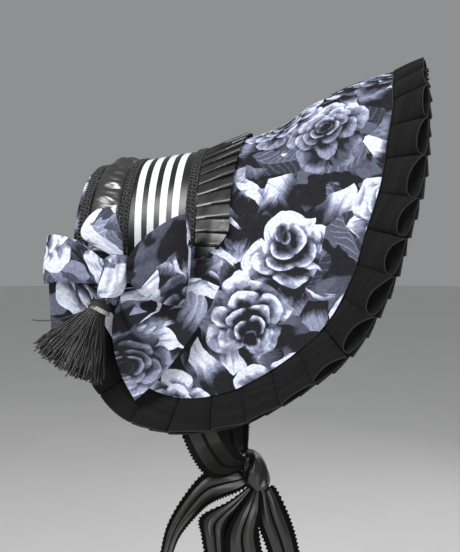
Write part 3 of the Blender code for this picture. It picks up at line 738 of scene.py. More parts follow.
def new_group(name, **inputs):
    """A new node group with an input Vector. The others have a number as their default, or are colours with
    None."""
    tree = bpy.data.node_groups.new(name, "ShaderNodeTree")
    tree.interface.new_socket(name="Vector", in_out="INPUT", socket_type="NodeSocketVector")
    for label, default in inputs.items():
        kind = "NodeSocketColor" if default is None else "NodeSocketFloat"
        made = tree.interface.new_socket(name=label, in_out="INPUT", socket_type=kind)
        if default is not None:
            made.default_value = default
    wires = Wiring(tree)
    return wires, Outputs(wires, tree.nodes.new("NodeGroupInput").outputs)


def weave_group():
    """Crossed threads, as a height and a tone, from coordinates that follow the cloth."""
    wires, given = new_group("cloth weave", Thread=0.0008)
    x, y, _ = wires.parts(wires.scaled(given["Vector"], 2 * math.pi / given["Thread"]))
    crossed = wires.math("SINE", x) * wires.math("SINE", y)
    slubs = wires.uneven(given["Vector"], 900.0, 2.0, -0.09, 0.09)
    patches = wires.uneven(given["Vector"], 140.0, 2.0, -0.05, 0.05)
    rough = slubs + patches
    height = wires.math("MULTIPLY_ADD", crossed, 0.5, 0.5) + rough
    return wires.give(Height=height, Tone=wires.math("MULTIPLY_ADD", crossed, 0.04, 1.0) + rough)


def leaf_group():
    """Scattered pointed leaves: a mask, the half of the leaf, its veins and a chance for each leaf."""
    wires, given = new_group("scattered leaves", Length=0.5, Width=0.2)
    (chance, angle, _), local = wires.cells(given["Vector"], 0.85)
    x, y, _ = wires.turned(local, angle)
    across = abs(y)
    share = x / given["Length"]
    taper = wires.math("SUBTRACT", 1.0, share * share, clamp=True)
    teeth = wires.math("SINE", x * 70.0) * 0.010
    rim = taper * given["Width"] + teeth * taper
    ribs = wires.between(wires.math("SINE", x * 60.0 - across * 70.0), 0.55, 1.0)
    middle = wires.between(across, 0.014, 0.004)
    return wires.give(
        Mask=wires.between(rim - across, 0.0, 0.018),
        Half=wires.between(y, -0.012, 0.012),
        Vein=wires.math("MAXIMUM", ribs, middle),
        Chance=chance,
    )


def petal_group():
    """Brushed petals that overlap: a shade from base to rim for each, and two chances for each."""
    wires, given = new_group("brushed petals")
    (chance, angle, bright), local = wires.cells(given["Vector"], 0.95)
    x, y, _ = wires.turned(local, angle)
    # The rim curves round the base, and brush marks run from the base outward.
    curved = x - y * y * 0.9
    marks = wires.uneven(wires.join(x * 1.2, y * 9.0, angle), 1.0, 2.0, -0.17, 0.17)
    return wires.give(Shade=wires.between(curved, -0.42, 0.36) + marks, Chance=chance, Bright=bright)


def bloom_group():
    """Scattered roses of scalloped petals, ring within ring: a mask, a petal shade and a chance for each
    rose."""
    wires, given = new_group("scattered roses", Radius=0.42)
    (chance, start, lean), local = wires.cells(given["Vector"], 0.7)
    x, y, _ = wires.parts(local)
    mask, shade = None, 0.0
    for size, petals, bright in ROSE_RINGS:
        aside = (lean - 0.5) * (0.5 * (1.0 - size))
        off_x, off_y = x - aside, y + aside
        reach = wires.math("SQRT", off_x * off_x + off_y * off_y)
        turn = wires.math("ARCTAN2", off_y, off_x)
        lobe = abs(wires.math("SINE", turn * (petals / 2.0) + start * (9.0 * petals * size)))
        scallop = wires.math("MULTIPLY_ADD", wires.math("SQRT", lobe), 0.30, 0.74)
        rim = given["Radius"] * size * scallop
        inside = wires.between(rim - reach, 0.0, 0.012)
        tone = wires.between(reach / rim, 0.50, 0.99, 0.05, bright) * wires.between(lobe, 0.0, 0.5, 0.35, 1.0)
        shade = wires.over(inside, shade, tone) if mask else tone
        mask = mask or inside
    return wires.give(Mask=mask, Shade=shade + (x * -0.55 + y * 0.45), Chance=chance)


def print_group():
    """The floral print: washed ground, leaves, loose petals, roses and pale strokes, from coordinates that
    follow the cloth. Every layer gives a tone from 0 to 1, and the four colours follow the tone."""
    wires, given = new_group("floral print", Motif=0.046, Lift=0.0, **dict.fromkeys(PRINT_COLOURS))
    flat = wires.scaled(given["Vector"], 1.0 / given["Motif"])
    wavy = wires.warped(wires.warped(flat, 1.6, 0.30), 6.0, 0.07)
    tone = wires.between(wires.cloud(wavy, 1.9), 0.46, 0.60, 0.02, 0.36)
    patches = wires.cloud(wires.vector("ADD", wavy, (7.3, 2.1, 0.0)), 2.6, 1.0)
    tone = wires.over(wires.between(patches, 0.56, 0.58), tone, 0.46)

    strewn = wires.placed(wavy, 1.05, (3.4, 8.2, 0.0))
    leaf = wires.group("scattered leaves", Vector=strewn, Length=0.58, Width=0.22)
    leaf_tone = wires.between(leaf["Half"], 0.0, 1.0, 0.24, 0.44) + leaf["Vein"] * 0.14
    tone = wires.over(leaf["Mask"] * (leaf["Chance"] > 0.30), tone, leaf_tone)

    # Loose petals in two sizes: the share of them that is hidden, the scale, and where they lie on the cloth.
    for hidden, scale, place in ((0.52, 1.75, (1.3, 6.1, 0.0)), (0.66, 3.1, (5.2, 0.7, 0.0))):
        petal = wires.group("brushed petals", Vector=wires.placed(wavy, scale, place))
        lift = wires.math("MULTIPLY_ADD", petal["Bright"], 0.55, 0.42)
        petal_tone = wires.math("MULTIPLY_ADD", petal["Shade"], lift, 0.08)
        tone = wires.over(petal["Chance"] > hidden, tone, petal_tone)

    bloom = wires.group("scattered roses", Vector=wires.placed(wavy, 0.80, (0.6, 3.3, 0.0)), Radius=0.44)
    marks = wires.uneven(wires.placed(wavy, 9.0, (2.0, 0.0, 0.0)), 1.0, 2.0, -0.16, 0.16)
    bloom_tone = (bloom["Shade"] + marks) * wires.between(bloom["Chance"], 0.25, 0.75, 0.72, 1.08)
    tone = wires.over(bloom["Mask"] * (bloom["Chance"] > 0.22), tone, bloom_tone)

    slant = {"Vector": wires.warped(wavy, 2.4, 0.25), "Rotation": (0.0, 0.0, 0.7), "Scale": (1.6, 7.0, 1.0)}
    streaks = wires.between(wires.cloud(wires.node("Mapping", slant)[0], 1.0, 1.0), 0.60, 0.63)
    near = wires.between(wires.cloud(wires.vector("ADD", flat, (4.0, 1.0, 0.0)), 1.1, 1.0), 0.52, 0.58)
    tone = wires.over(streaks * near, tone, 0.95) + given["Lift"]

    colour = wires.mix(wires.between(tone, 0.12, 0.36), given["Ground"], given["Slate"])
    colour = wires.mix(wires.between(tone, 0.36, 0.68), colour, given["Lavender"])
    colour = wires.mix(wires.between(tone, 0.68, 0.98), colour, given["Petal"])
    return wires.give(Color=wires.toned(colour, wires.uneven(flat, 26.0, 2.0, 0.84, 1.12)))


def satin_group():
    """Long fine threads of satin along one direction, as a height and a tone."""
    wires, given = new_group("satin threads", Thread=0.0006)
    fine = wires.scaled(given["Vector"], 1.0 / given["Thread"])
    stretched = wires.node("Mapping", {"Vector": fine, "Scale": (0.06, 1.0, 1.0)})[0]
    threads = wires.cloud(stretched, 1.0, 1.0)
    pressed = wires.uneven(given["Vector"], 90.0, 2.0, 0.85, 1.15)
    return wires.give(Height=threads, Tone=wires.between(threads, *CLOUD_RANGE, -0.10, 0.10) + pressed)


def yarn_group():
    """Twisted yarn and thread: a fine height and a tone from the piece's own place."""
    wires, given = new_group("twisted yarn", Twist=0.0009)
    fine = wires.scaled(given["Vector"], 1.0 / given["Twist"])
    x, y, z = wires.parts(fine)
    spiral = wires.math("SINE", (x + y + z) * (2 * math.pi))
    fluff = wires.cloud(fine, 0.9)
    return wires.give(Height=spiral * 0.4 + fluff, Tone=wires.between(fluff, *CLOUD_RANGE, 0.65, 1.5))


def shared_group(label):
    """The named node group, made on first use."""
    makers = {
        "cloth weave": weave_group,
        "scattered leaves": leaf_group,
        "brushed petals": petal_group,
        "scattered roses": bloom_group,
        "floral print": print_group,
        "satin threads": satin_group,
        "twisted yarn": yarn_group,
    }
    return bpy.data.node_groups.get(label) or makers[label]()


class Finish(Wiring):
    """A material in the making, with its plain settings on the shader's own sockets."""

    def __init__(self, name, roughness, **sockets):
        self.made = bpy.data.materials.new(name)
        self.made.use_nodes = True
        super().__init__(self.made.node_tree)
        self.shader = self.tree.nodes["Principled BSDF"].inputs
        for label, value in {"Roughness": roughness, **sockets}.items():
            self.shader[label.replace("_", " ")].default_value = value
        places = self.node("TexCoord")
        self.cloth, self.place = places["UV"], places["Object"]

    def colour(self, name):
        return (*getattr(bpy.context.scene.bonnet_colours, name), 1.0)

    def weave(self, thread=CLOTH_THREAD):
        return self.group("cloth weave", Vector=self.cloth, Thread=thread)

    def threads(self, thread=SATIN_THREAD):
        return self.group("satin threads", Vector=self.cloth, Thread=thread)

    def set(self, **values):
        for label, value in values.items():
            self.put(self.shader[label.replace("_", " ")], value)

    def done(self, colour, height=None, strength=0.0, distance=0.0003):
        """Lays the colour and the relief on the shader and gives the material."""
        self.set(Base_Color=colour)
        if height:
            relief = {"Strength": strength, "Distance": distance, "Height": height}
            self.set(Normal=self.node("Bump", relief)[0])
        return self.made


def print_cotton(name, turn=0.0, cut=(0.0, 0.0), lift=0.0):
    """Printed cotton. turn and cut say how the piece lies on the print, and lift makes a paler or darker part
    of it."""
    cotton = Finish(name, 0.9, Specular_IOR_Level=0.04)
    lay = {"Vector": cotton.cloth, "Rotation": (0.0, 0.0, turn), "Location": (*cut, 0.0)}
    drawn = cotton.group(
        "floral print",
        Vector=cotton.node("Mapping", lay)[0],
        Motif=bpy.context.scene.bonnet_sizes.motif,
        Lift=lift,
        **{label: cotton.colour("print_" + label.lower()) for label in PRINT_COLOURS},
    )
    weave = cotton.weave()
    return cotton.done(cotton.toned(drawn["Color"], weave["Tone"]), weave["Height"], 0.25, 0.00025)


def plain_cotton():
    """Matte black cotton, with lint, a pressed weave and a painted highlight along the hem's fold."""
    cotton = Finish("plain_cotton", 0.92, Sheen_Weight=0.03, Sheen_Roughness=0.45, Specular_IOR_Level=0.10)
    weave = cotton.weave()
    dusty = cotton.between(cotton.cloud(cotton.cloth, 55.0, 3.0), 0.35, 0.75, 0.8, 1.45)
    lint = cotton.between(cotton.cloud(cotton.cloth, 420.0, 1.0), 0.74, 0.80, 0.0, 0.05)
    _, across, _ = cotton.parts(cotton.cloth)
    # The thin pale line along the hem is a painted highlight where the fold catches the light, mixed in with
    # the real lint.
    pale = cotton.math("MAXIMUM", lint, cotton.between(across, 0.0003, 0.0006, 0.06, 0.0))
    colour = cotton.toned(cotton.colour("cotton_black"), dusty * weave["Tone"])
    return cotton.done(cotton.mix(pale, colour, LINT_AND_HIGHLIGHT_COLOUR), weave["Height"], 0.35)


def lining_cotton():
    """Plain charcoal cotton on the inside of the brim and the crown."""
    cotton = Finish("lining_cotton", 0.9, Sheen_Weight=0.15, Specular_IOR_Level=0.2)
    weave = cotton.weave(LINING_THREAD)
    tone = cotton.uneven(cotton.cloth, 30.0, 3.0, 0.85, 1.2) * weave["Tone"]
    return cotton.done(cotton.toned(LINING_COLOUR, tone), weave["Height"], 0.3)


def black_satin(name, roughness, gloss=0.64):
    """Black satin with a sheen and pressed threads."""
    satin = Finish(name, roughness, IOR=1.7, Specular_IOR_Level=gloss)
    threads = satin.threads(PRESSED_THREAD)
    satin.set(Roughness=satin.uneven(satin.cloth, 60.0, 2.0, roughness - 0.05, roughness + 0.07))
    colour = satin.toned(satin.colour("satin_black"), threads["Tone"])
    return satin.done(colour, threads["Height"], 0.12, 0.0002)


def striped_satin():
    """White stripes on black satin, along the ribbon."""
    satin = Finish("striped_satin", 0.4, Specular_IOR_Level=0.60)
    _, across, _ = satin.parts(satin.cloth)
    past = (across - STRIPE_MARGIN * MM) / (STRIPE_PERIOD * MM)
    within = satin.math("FRACT", past) * STRIPE_PERIOD
    rises = satin.between(within, 0.0, STRIPE_BLUR)
    falls = satin.between(within, STRIPE_WIDTH, STRIPE_WIDTH + STRIPE_BLUR, 1.0, 0.0)
    width = (BRAIDS["braid_middle"] - BRAIDS["braid_front"] - BRAID_WIDTH - 2 * GAP) * MM
    white = rises * falls * ((past > 0.0) * (across < width))
    dark = satin.toned(satin.colour("satin_black"), satin.threads()["Tone"])
    satin.set(Roughness=satin.between(white, 0.0, 1.0, 0.30, 0.62))
    colour = satin.mix(white, dark, satin.colour("stripe_white"))
    return satin.done(colour, satin.weave(STRIPE_THREAD)["Height"], 0.15, 0.0002)


def tie_ribbon_finish(name, gloss):
    """Black ribbon with two satin stripes between matte, ribbed edges. The straps show its duller reverse."""
    ribbon = Finish(name, 0.8, Specular_IOR_Level=0.08, Coat_Roughness=0.28, Coat_IOR=1.6)
    along, across, _ = ribbon.parts(ribbon.cloth)
    off_middle = abs(across - TIE_WIDTH * 0.5 * MM)
    satin = ribbon.between(off_middle, 0.0010, 0.0013) * ribbon.between(off_middle, 0.0086, 0.0082)
    tone = ribbon.threads()["Tone"] * ribbon.between(satin, 0.0, 1.0, 0.45, 1.3)
    ribbon.set(Coat_Weight=satin * gloss)
    ribs = ribbon.math("SINE", along * (2 * math.pi / TIE_RIB)) * ribbon.between(satin, 0.0, 1.0, 0.5, 0.05)
    return ribbon.done(ribbon.toned(ribbon.colour("satin_black"), tone), ribs, 0.4)


def yarn(name, twist, roughness, sheen):
    spun = Finish(name, roughness, Sheen_Weight=sheen, Sheen_Roughness=0.35, Specular_IOR_Level=0.55)
    twisted = spun.group("twisted yarn", Vector=spun.place, Twist=twist)
    return spun.done(spun.toned(spun.colour("yarn_black"), twisted["Tone"]), twisted["Height"], 0.4)


def antique_metal():
    """Worn cast metal, tarnished in patches, with a painted shadow that darkens it above its rim. Its UV also
    gives the level below its top."""
    metal = Finish("antique_metal", 0.5, Specular_IOR_Level=0.25)
    pits = metal.cloud(metal.place, 420.0, 3.0)
    _, level, _ = metal.parts(metal.cloth)
    bright = metal.between(metal.cloud(metal.place, 130.0), 0.36, 0.60)
    # Above the rim the cap takes the tarnish colour as a painted shadow; below it, random rubbed patches show
    # the bare metal.
    rubbed_below_shadow = bright * metal.between(level, 0.0056, 0.0064, 0.0, 1.0)
    metal.set(
        Metallic=metal.between(rubbed_below_shadow, 0.0, 1.0, 0.0, 0.6),
        Roughness=metal.between(pits, *CLOUD_RANGE, 0.45, 0.68),
    )
    return metal.done(metal.mix(rubbed_below_shadow, metal.colour("metal_tarnish_and_shadow"), metal.colour("metal_light")), pits, 0.35)


def floor_finish():
    paint = Finish("floor_paint", 0.85)
    return paint.done(paint.toned(paint.colour("backdrop"), paint.uneven(paint.place, 3.0, 3.0, 0.985, 1.015)))


def laid_flat(points):
    """Lengths along and across a grid of points, in metres, so that a pattern isn't stretched."""
    columns, rows = len(points), len(points[0])
    along = [[0.0] * rows for _ in range(columns)]
    across = [[0.0] * rows for _ in range(columns)]
    for i in range(columns):
        for j in range(rows):
            if i:
                along[i][j] = along[i - 1][j] + (points[i][j] - points[i - 1][j]).length
            if j:
                across[i][j] = across[i][j - 1] + (points[i][j] - points[i][j - 1]).length
    middle = along[columns // 2]
    return [[length - start for length, start in zip(line, middle)] for line in along], across


def grid(columns, rows, place):
    """A grid that place(a, b) lays out in mm, with a and b from 0 to 1, and the column and row of each
    corner."""
    bm = bmesh.new()
    chart = bm.loops.layers.uv.new("UVMap")
    bmesh.ops.create_grid(bm, x_segments=columns, y_segments=rows, size=0.5)
    spots = {vert: (round((vert.co.x + 0.5) * columns), round((vert.co.y + 0.5) * rows)) for vert in bm.verts}
    for vert, (i, j) in spots.items():
        vert.co = place(i / columns, j / rows) * MM
    return bm, chart, spots


def unwrap(bm, chart, uv):
    """Charts every corner of every face where uv(vert) says."""
    for face in bm.faces:
        for loop in face.loops:
            loop[chart].uv = uv(loop.vert)


def new_object(name, data):
    made = bpy.data.objects.new(name, data)
    bpy.context.scene.collection.objects.link(made)
    return made


def new_piece(name, bm, finishes):
    mesh = bpy.data.meshes.new(name)
    bm.to_mesh(mesh)
    bm.free()
    for finish in finishes:
        mesh.materials.append(finish)
    return new_object(name, mesh)


def cloth(name, columns, rows, place, wall, side, finishes, width=None, fan=None):
    """A cloth wall from a grid that place(a, b) lays out, with a and b from 0 to 1. side is -1 to thicken
    inward. width, in mm, spreads a ribbon's own width over its rows instead of the measured one. fan, a
    radius in mm and an angle, lays the pattern out as a ring's sector round its last row, for a piece that
    widens like a cone."""
    bm, chart, spots = grid(columns, rows, place)
    points = [[None] * (rows + 1) for _ in range(columns + 1)]
    for vert, (i, j) in spots.items():
        points[i][j] = vert.co.copy()
    along, across = laid_flat(points)

    def uv(vert):
        i, j = spots[vert]
        if fan:
            radius = fan[0] * MM + across[i][rows] - across[i][j]
            angle = fan[1] * (i / columns - 0.5)
            return radius * math.cos(angle), radius * math.sin(angle)
        return along[i][j], across[i][j] if width is None else width * MM * j / rows

    unwrap(bm, chart, uv)
    made = new_piece(name, bm, finishes)
    shell = made.modifiers.new("wall", "SOLIDIFY")
    shell.thickness = wall * MM
    shell.offset = side
    # A second finish goes on the inner face and on the rim; the dark rim is the lining's edge and also paints a
    # shade line along the cloth's edge.
    if len(finishes) > 1:
        shell.material_offset = 1
        shell.material_offset_rim = 1
    return made


def wrapped(name, around, levels, place, finish):
    """A closed form: a grid wrapped round and closed at both ends. place(turn, b) gives its points in mm."""
    bm, chart, spots = grid(around, levels, lambda a, b: place(a * 2 * math.pi, b))
    steps = (KNOT_CLOTH[0] / around, KNOT_CLOTH[1] / levels)
    unwrap(bm, chart, lambda vert: [spot * step for spot, step in zip(spots[vert], steps)])
    bmesh.ops.remove_doubles(bm, verts=bm.verts, dist=1e-6)
    bmesh.ops.holes_fill(bm, edges=[edge for edge in bm.edges if edge.is_boundary])
    bmesh.ops.recalc_face_normals(bm, faces=bm.faces)
    return new_piece(name, bm, [finish])


def strands(name, lines, radius, sides, finish):
    """Round yarns or threads along lines of points in mm, as one mesh."""
    curve = bpy.data.curves.new(name, "CURVE")
    curve.dimensions = "3D"
    curve.bevel_depth = radius * MM
    curve.bevel_resolution = sides
    curve.use_fill_caps = True
    for line in lines:
        spline = curve.splines.new("POLY")
        spline.points.add(len(line) - 1)
        for spot, point in zip(spline.points, line):
            spot.co = (*(point * MM), 1.0)
    curve.materials.append(finish)
    return new_object(name, curve)


def settle(piece, slot, *nodes, sharp=50.0):
    """Applies the piece's modifiers, shades it smooth and puts it in place of its solids."""
    depsgraph = bpy.context.evaluated_depsgraph_get()
    evaluated = piece.evaluated_get(depsgraph)
    mesh = bpy.data.meshes.new_from_object(evaluated, preserve_all_data_layers=True, depsgraph=depsgraph)
    name = piece.name
    piece.name = name + "_draft"
    mesh.name = name
    made = new_object(name, mesh)
    bpy.data.objects.remove(piece, do_unlink=True)
    mesh.shade_smooth()
    mesh.set_sharp_from_angle(angle=math.radians(sharp))
    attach(made, "root")
    if nodes:
        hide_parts(*nodes)
    return made


def joined(name, pieces):
    """Several finished meshes as one piece."""
    bm = bmesh.new()
    finishes = []
    for piece in pieces:
        start = len(bm.faces)
        bm.from_mesh(piece.data)
        bm.faces.ensure_lookup_table()
        offset = len(finishes)
        for face in bm.faces[start:]:
            face.material_index += offset
        finishes.extend(piece.data.materials)
    made = new_piece(name, bm, finishes)
    for piece in pieces:
        bpy.data.objects.remove(piece, do_unlink=True)
    return made


class BONNET_OT_crown(bpy.types.Operator):
    """Build the crown and its gathered back panel in print cotton"""

    bl_idname = "bonnet.crown"
    bl_label = "Crown"

    def execute(self, context):
        lining = lining_cotton()

        def shell(a, b):
            y = mixed(CROWN_FRONT, CROWN_BACK, b)
            return crown_point(y, (2 * a - 1) * crown_reach(y))

        finishes = [print_cotton("print_crown", turn=0.3, cut=(0.4, 0.1)), lining]
        crown = settle(cloth("crown_cloth", 120, 22, shell, CROWN_WALL, -1, finishes), "print_cotton", "crown")

        inset = CROWN_WALL + GAP
        foot = Vector((0.0, BACK_PANEL_AT, hem_height(BACK_PANEL_AT) + inset))

        def fan(a, b):
            rim = crown_point(BACK_PANEL_AT, (2 * a - 1) * (crown_reach(BACK_PANEL_AT) - inset), -inset)
            keep = 1.0 - (1.0 - BACK_NOTCH_SHARE) * b
            dome = BACK_PANEL_DOME * math.sin(math.pi * BACK_PANEL_DOME_SHARE * b)
            fold = math.sin(2 * math.pi * BACK_GATHERS * a + 2 * wander(3 * a, b, 4))
            gather = BACK_GATHER_DEPTH * math.sin(math.pi * min(b * 1.6, 1.0)) * fold
            return foot.lerp(rim, keep) + Vector((0.0, dome + gather, 0.0))

        finishes = [print_cotton("print_back", turn=1.0, cut=(0.7, 0.3)), lining]
        spread = (BACK_FAN_RADIUS, math.pi)
        back = cloth("crown_back_cloth", 240, 18, fan, BACK_PANEL_WALL, -1, finishes, fan=spread)
        back = settle(back, "print_cotton", "crown_back")
        return {"FINISHED"}


class BONNET_OT_brim(bpy.types.Operator):
    """Build the brim: print cotton outside and plain cotton inside"""

    bl_idname = "bonnet.brim"
    bl_label = "Brim"

    def execute(self, context):
        def place(a, b):
            along, outward = 2 * a - 1, (1 - b) ** BRIM_ROW_PACING
            point = brim_outer(along, outward)
            radial = Vector((point.x, 0.0, point.z - crown_centre(CROWN_FRONT))).normalized()
            soft = BRIM_SOFTNESS * wander(along * 7, outward * 3, 1) * math.sin(math.pi * outward)
            at_edge, at_root = max(0.0, 1 - (1 - outward) / 0.09), max(0.0, 1 - outward / 0.2)
            edge = BRIM_EDGE_PUCKER * math.sin(along * 260 + 3 * wander(along * 9, 0, 2)) * at_edge
            root = BRIM_ROOT_PUCKER * math.sin(along * 190 + 4 * wander(along * 8, 0, 3)) * at_root
            return point + radial * (soft - abs(edge) - abs(root))

        finishes = [print_cotton("print_brim", turn=1.35, cut=(0.30, 0.12), lift=-0.03), lining_cotton()]
        spread = (BRIM_FAN_RADIUS, BRIM_FAN_ANGLE)
        brim = cloth("brim_cloth", 300, 34, place, BRIM_WALL, -1, finishes, fan=spread)
        brim = settle(brim, "print_cotton", "brim")
        return {"FINISHED"}


def pleat_at(a, columns, rows):
    """The column at a, its side, and the pleat and the row of its section, counted from the frill's nearer
    end."""
    index = round(a * columns)
    side = 1 if index > columns / 2 else -1
    return index, side, *divmod(min(index, columns - index), len(rows))


class BONNET_OT_brim_frill(bpy.types.Operator):
    """Build the box-pleated cotton frill round the brim"""

    bl_idname = "bonnet.brim_frill"
    bl_label = "Brim Frill"

    def execute(self, context):
        sizes = context.scene.bonnet_sizes
        boxes, depth, hem_rise = sizes.box_count, sizes.frill_depth / MM, sizes.frill_rise / MM
        columns = boxes * len(BOX_FOLD_ROWS) - 1
        frames = {}

        def place(a, b):
            index, side, box, step = pleat_at(a, columns, BOX_FOLD_ROWS)
            shift, rise, pulled = BOX_FOLD_ROWS[step]
            outward = 1 - b
            seed = box + 50 * side
            uneven = 1 + 0.16 * wander(seed * 1.7, 0.0, 5)
            swing = 0.05 * wander(seed * 2.3, 1.0, 6) * outward
            along = side * min(max(1 - 2 * (box + shift + swing) / boxes, 0.0), 1.0)
            if index not in frames:
                flare = math.radians(row_at(BRIM_COLUMNS, BRIM_ROWS, abs(along))["flare"])
                frames[index] = (*brim_frame(along), flare)
            edge, normal, forward, flare = frames[index]
            lean = forward * math.cos(flare) + normal * math.sin(flare)
            lift = normal * math.cos(flare * outward) - forward * math.sin(flare * outward)
            full = eased(abs(along), FRILL_TOP_UNTIL, FRILL_FULL_FROM)
            depth_here = depth * mixed(FRILL_TOP_SHARE, 1.0, full)
            # The pleats under the chin lie flatter than those round the face.
            flat = BOX_FLATTEN * eased(abs(along), BOX_FLAT_FROM, BOX_FLAT_AT)
            height = mixed(FRILL_RISE_AT_SEAM, hem_rise * uneven * (1 - 0.5 * flat), outward ** 0.8)
            start = edge + forward * FRILL_START - normal * FRILL_SETBACK
            if outward < 0.01:
                # The root tucks under the brim's edge.
                return start - forward * FRILL_TUCK
            drawn = pulled * (1 + 0.3 * wander(seed * 2.9, 3.0, 9)) * outward ** 2.5
            opened = mixed(BOX_OPEN_LEAST, BOX_OPEN_MOST, eased(abs(along), BOX_OPEN_FROM, BOX_OPEN_TO))
            drawn *= opened * (1 - flat) if pulled < 0 else 1 - 0.5 * flat
            drawn += flat * rise * height * math.sin(flare) * outward
            reach = depth_here * outward * (1 + 0.02 * wander(seed * 1.3, 2.0, 7)) + drawn
            sag = 0.5 * wander(a * 60, outward * 2, 8) * outward
            return start + lean * reach + lift * (rise * height + sag)

        frill = cloth("brim_frill_cloth", columns, 12, place, FRILL_WALL, 0, [plain_cotton()])
        frill = settle(frill, "black_cotton", "brim_frill", sharp=60.0)
        return {"FINISHED"}


def band_over_crown(node, front, back, lift, columns, rows, wall, finish, slot):
    """A band over the crown between two places along Y. lift(b, run) is the height of its inner face, in mm."""

    def place(a, b):
        y = mixed(front, back, b)
        run = (2 * a - 1) * (crown_reach(y) - TRIM_END_GAP)
        return crown_point(y, run, lift(b, run))

    return settle(cloth(node + "_cloth", columns, rows, place, wall, 1, [finish]), slot, node)


class BONNET_OT_braids(bpy.types.Operator):
    """Build the three looped gimp braids across the crown"""

    bl_idname = "bonnet.braids"
    bl_label = "Braids"

    def execute(self, context):
        sizes = context.scene.bonnet_sizes
        finish = yarn("braid_yarn", BRAID_TWIST, 0.5, 0.22)
        radius, loop = sizes.braid_yarn / MM, sizes.braid_loop / MM
        for node, front in BRAIDS.items():
            middle = front + BRAID_WIDTH / 2
            reach = crown_reach(middle) - TRIM_END_GAP
            half_loops = round(2 * reach / loop * 2)
            steps = half_loops * BRAID_STEPS
            lines = []
            for centre, phase in BRAID_PAIRS:
                for side in (1, -1):
                    line = []
                    for k in range(steps + 1):
                        share = k / steps
                        turn = math.pi * half_loops * share + phase
                        y = middle + centre + side * BRAID_SWAY * math.sin(turn)
                        lift = TRIM_LIFT + BRAID_LOOP_LIFT + radius + side * BRAID_WEAVE * math.cos(turn)
                        line.append(crown_point(y, (2 * share - 1) * reach, lift))
                    lines.append(line)

            def base(a, b, middle=middle, reach=reach):
                across = (b - 0.5) * (BRAID_WIDTH - 2 * BRAID_TAPE_INSET)
                return crown_point(middle + across, (2 * a - 1) * reach, TRIM_LIFT)

            tape = cloth(node + "_tape", 120, 2, base, BRAID_TAPE_WALL, 1, [finish])
            loops = strands(node + "_loops", lines, radius, 1, finish)
            parts = [settle(part, "braid_yarn") for part in (tape, loops)]
            settle(joined(node + "_gimp", parts), "braid_yarn", node)
        return {"FINISHED"}


class BONNET_OT_striped_ribbon(bpy.types.Operator):
    """Build the striped satin ribbon over the crown"""

    bl_idname = "bonnet.striped_ribbon"
    bl_label = "Striped Ribbon"

    def execute(self, context):
        front = BRAIDS["braid_front"] + BRAID_WIDTH + GAP
        back = BRAIDS["braid_middle"] - GAP

        def lift(b, run):
            return TRIM_LIFT + RIBBON_WAVE * (1 + wander(run / 14, b * 3, 9)) * math.sin(math.pi * b)

        finish = striped_satin()
        ribbon = band_over_crown(
            "striped_ribbon", front, back, lift, 200, 14, RIBBON_WALL, finish, "striped_satin"
        )
        return {"FINISHED"}


class BONNET_OT_satin_band(bpy.types.Operator):
    """Build the gathered satin band over the crown"""

    bl_idname = "bonnet.satin_band"
    bl_label = "Satin Band"

    def execute(self, context):
        front = BRAIDS["braid_middle"] + BRAID_WIDTH + SATIN_BAND_INSET
        back = BRAIDS["braid_back"] - SATIN_BAND_INSET
        depth = context.scene.bonnet_sizes.gather_depth / MM

        def lift(b, run):
            top = max(0.0, 1.0 - abs(run) / SATIN_BAND_PUFF_REACH)
            puff = mixed(SATIN_BAND_PUFF_SIDE, SATIN_BAND_PUFF_TOP, top)
            middle = math.sin(math.pi * b)
            round_over = middle ** 0.6
            fine = wander(run / 2.3, b * 1.1, 10) * (1 - 0.7 * middle)
            slanted = run + BAND_SLANT * (b - 0.5) + 5.0 * wander(run / 30, b, 16)
            turn = 2 * math.pi * slanted / BAND_FOLD
            broad = math.sin(turn) + 0.5 * math.sin(turn / 0.43 + 1.0)
            folds = depth * (0.45 * fine + 0.85 * broad * middle) * min(1.0, 9 * b, 9 * (1 - b))
            return TRIM_LIFT + max(0.0, puff * round_over + folds)

        finish = black_satin("gathered_satin", 0.31, 1.0)
        band = band_over_crown("satin_band", front, back, lift, 460, 18, SATIN_BAND_WALL, finish, "black_satin")
        return {"FINISHED"}


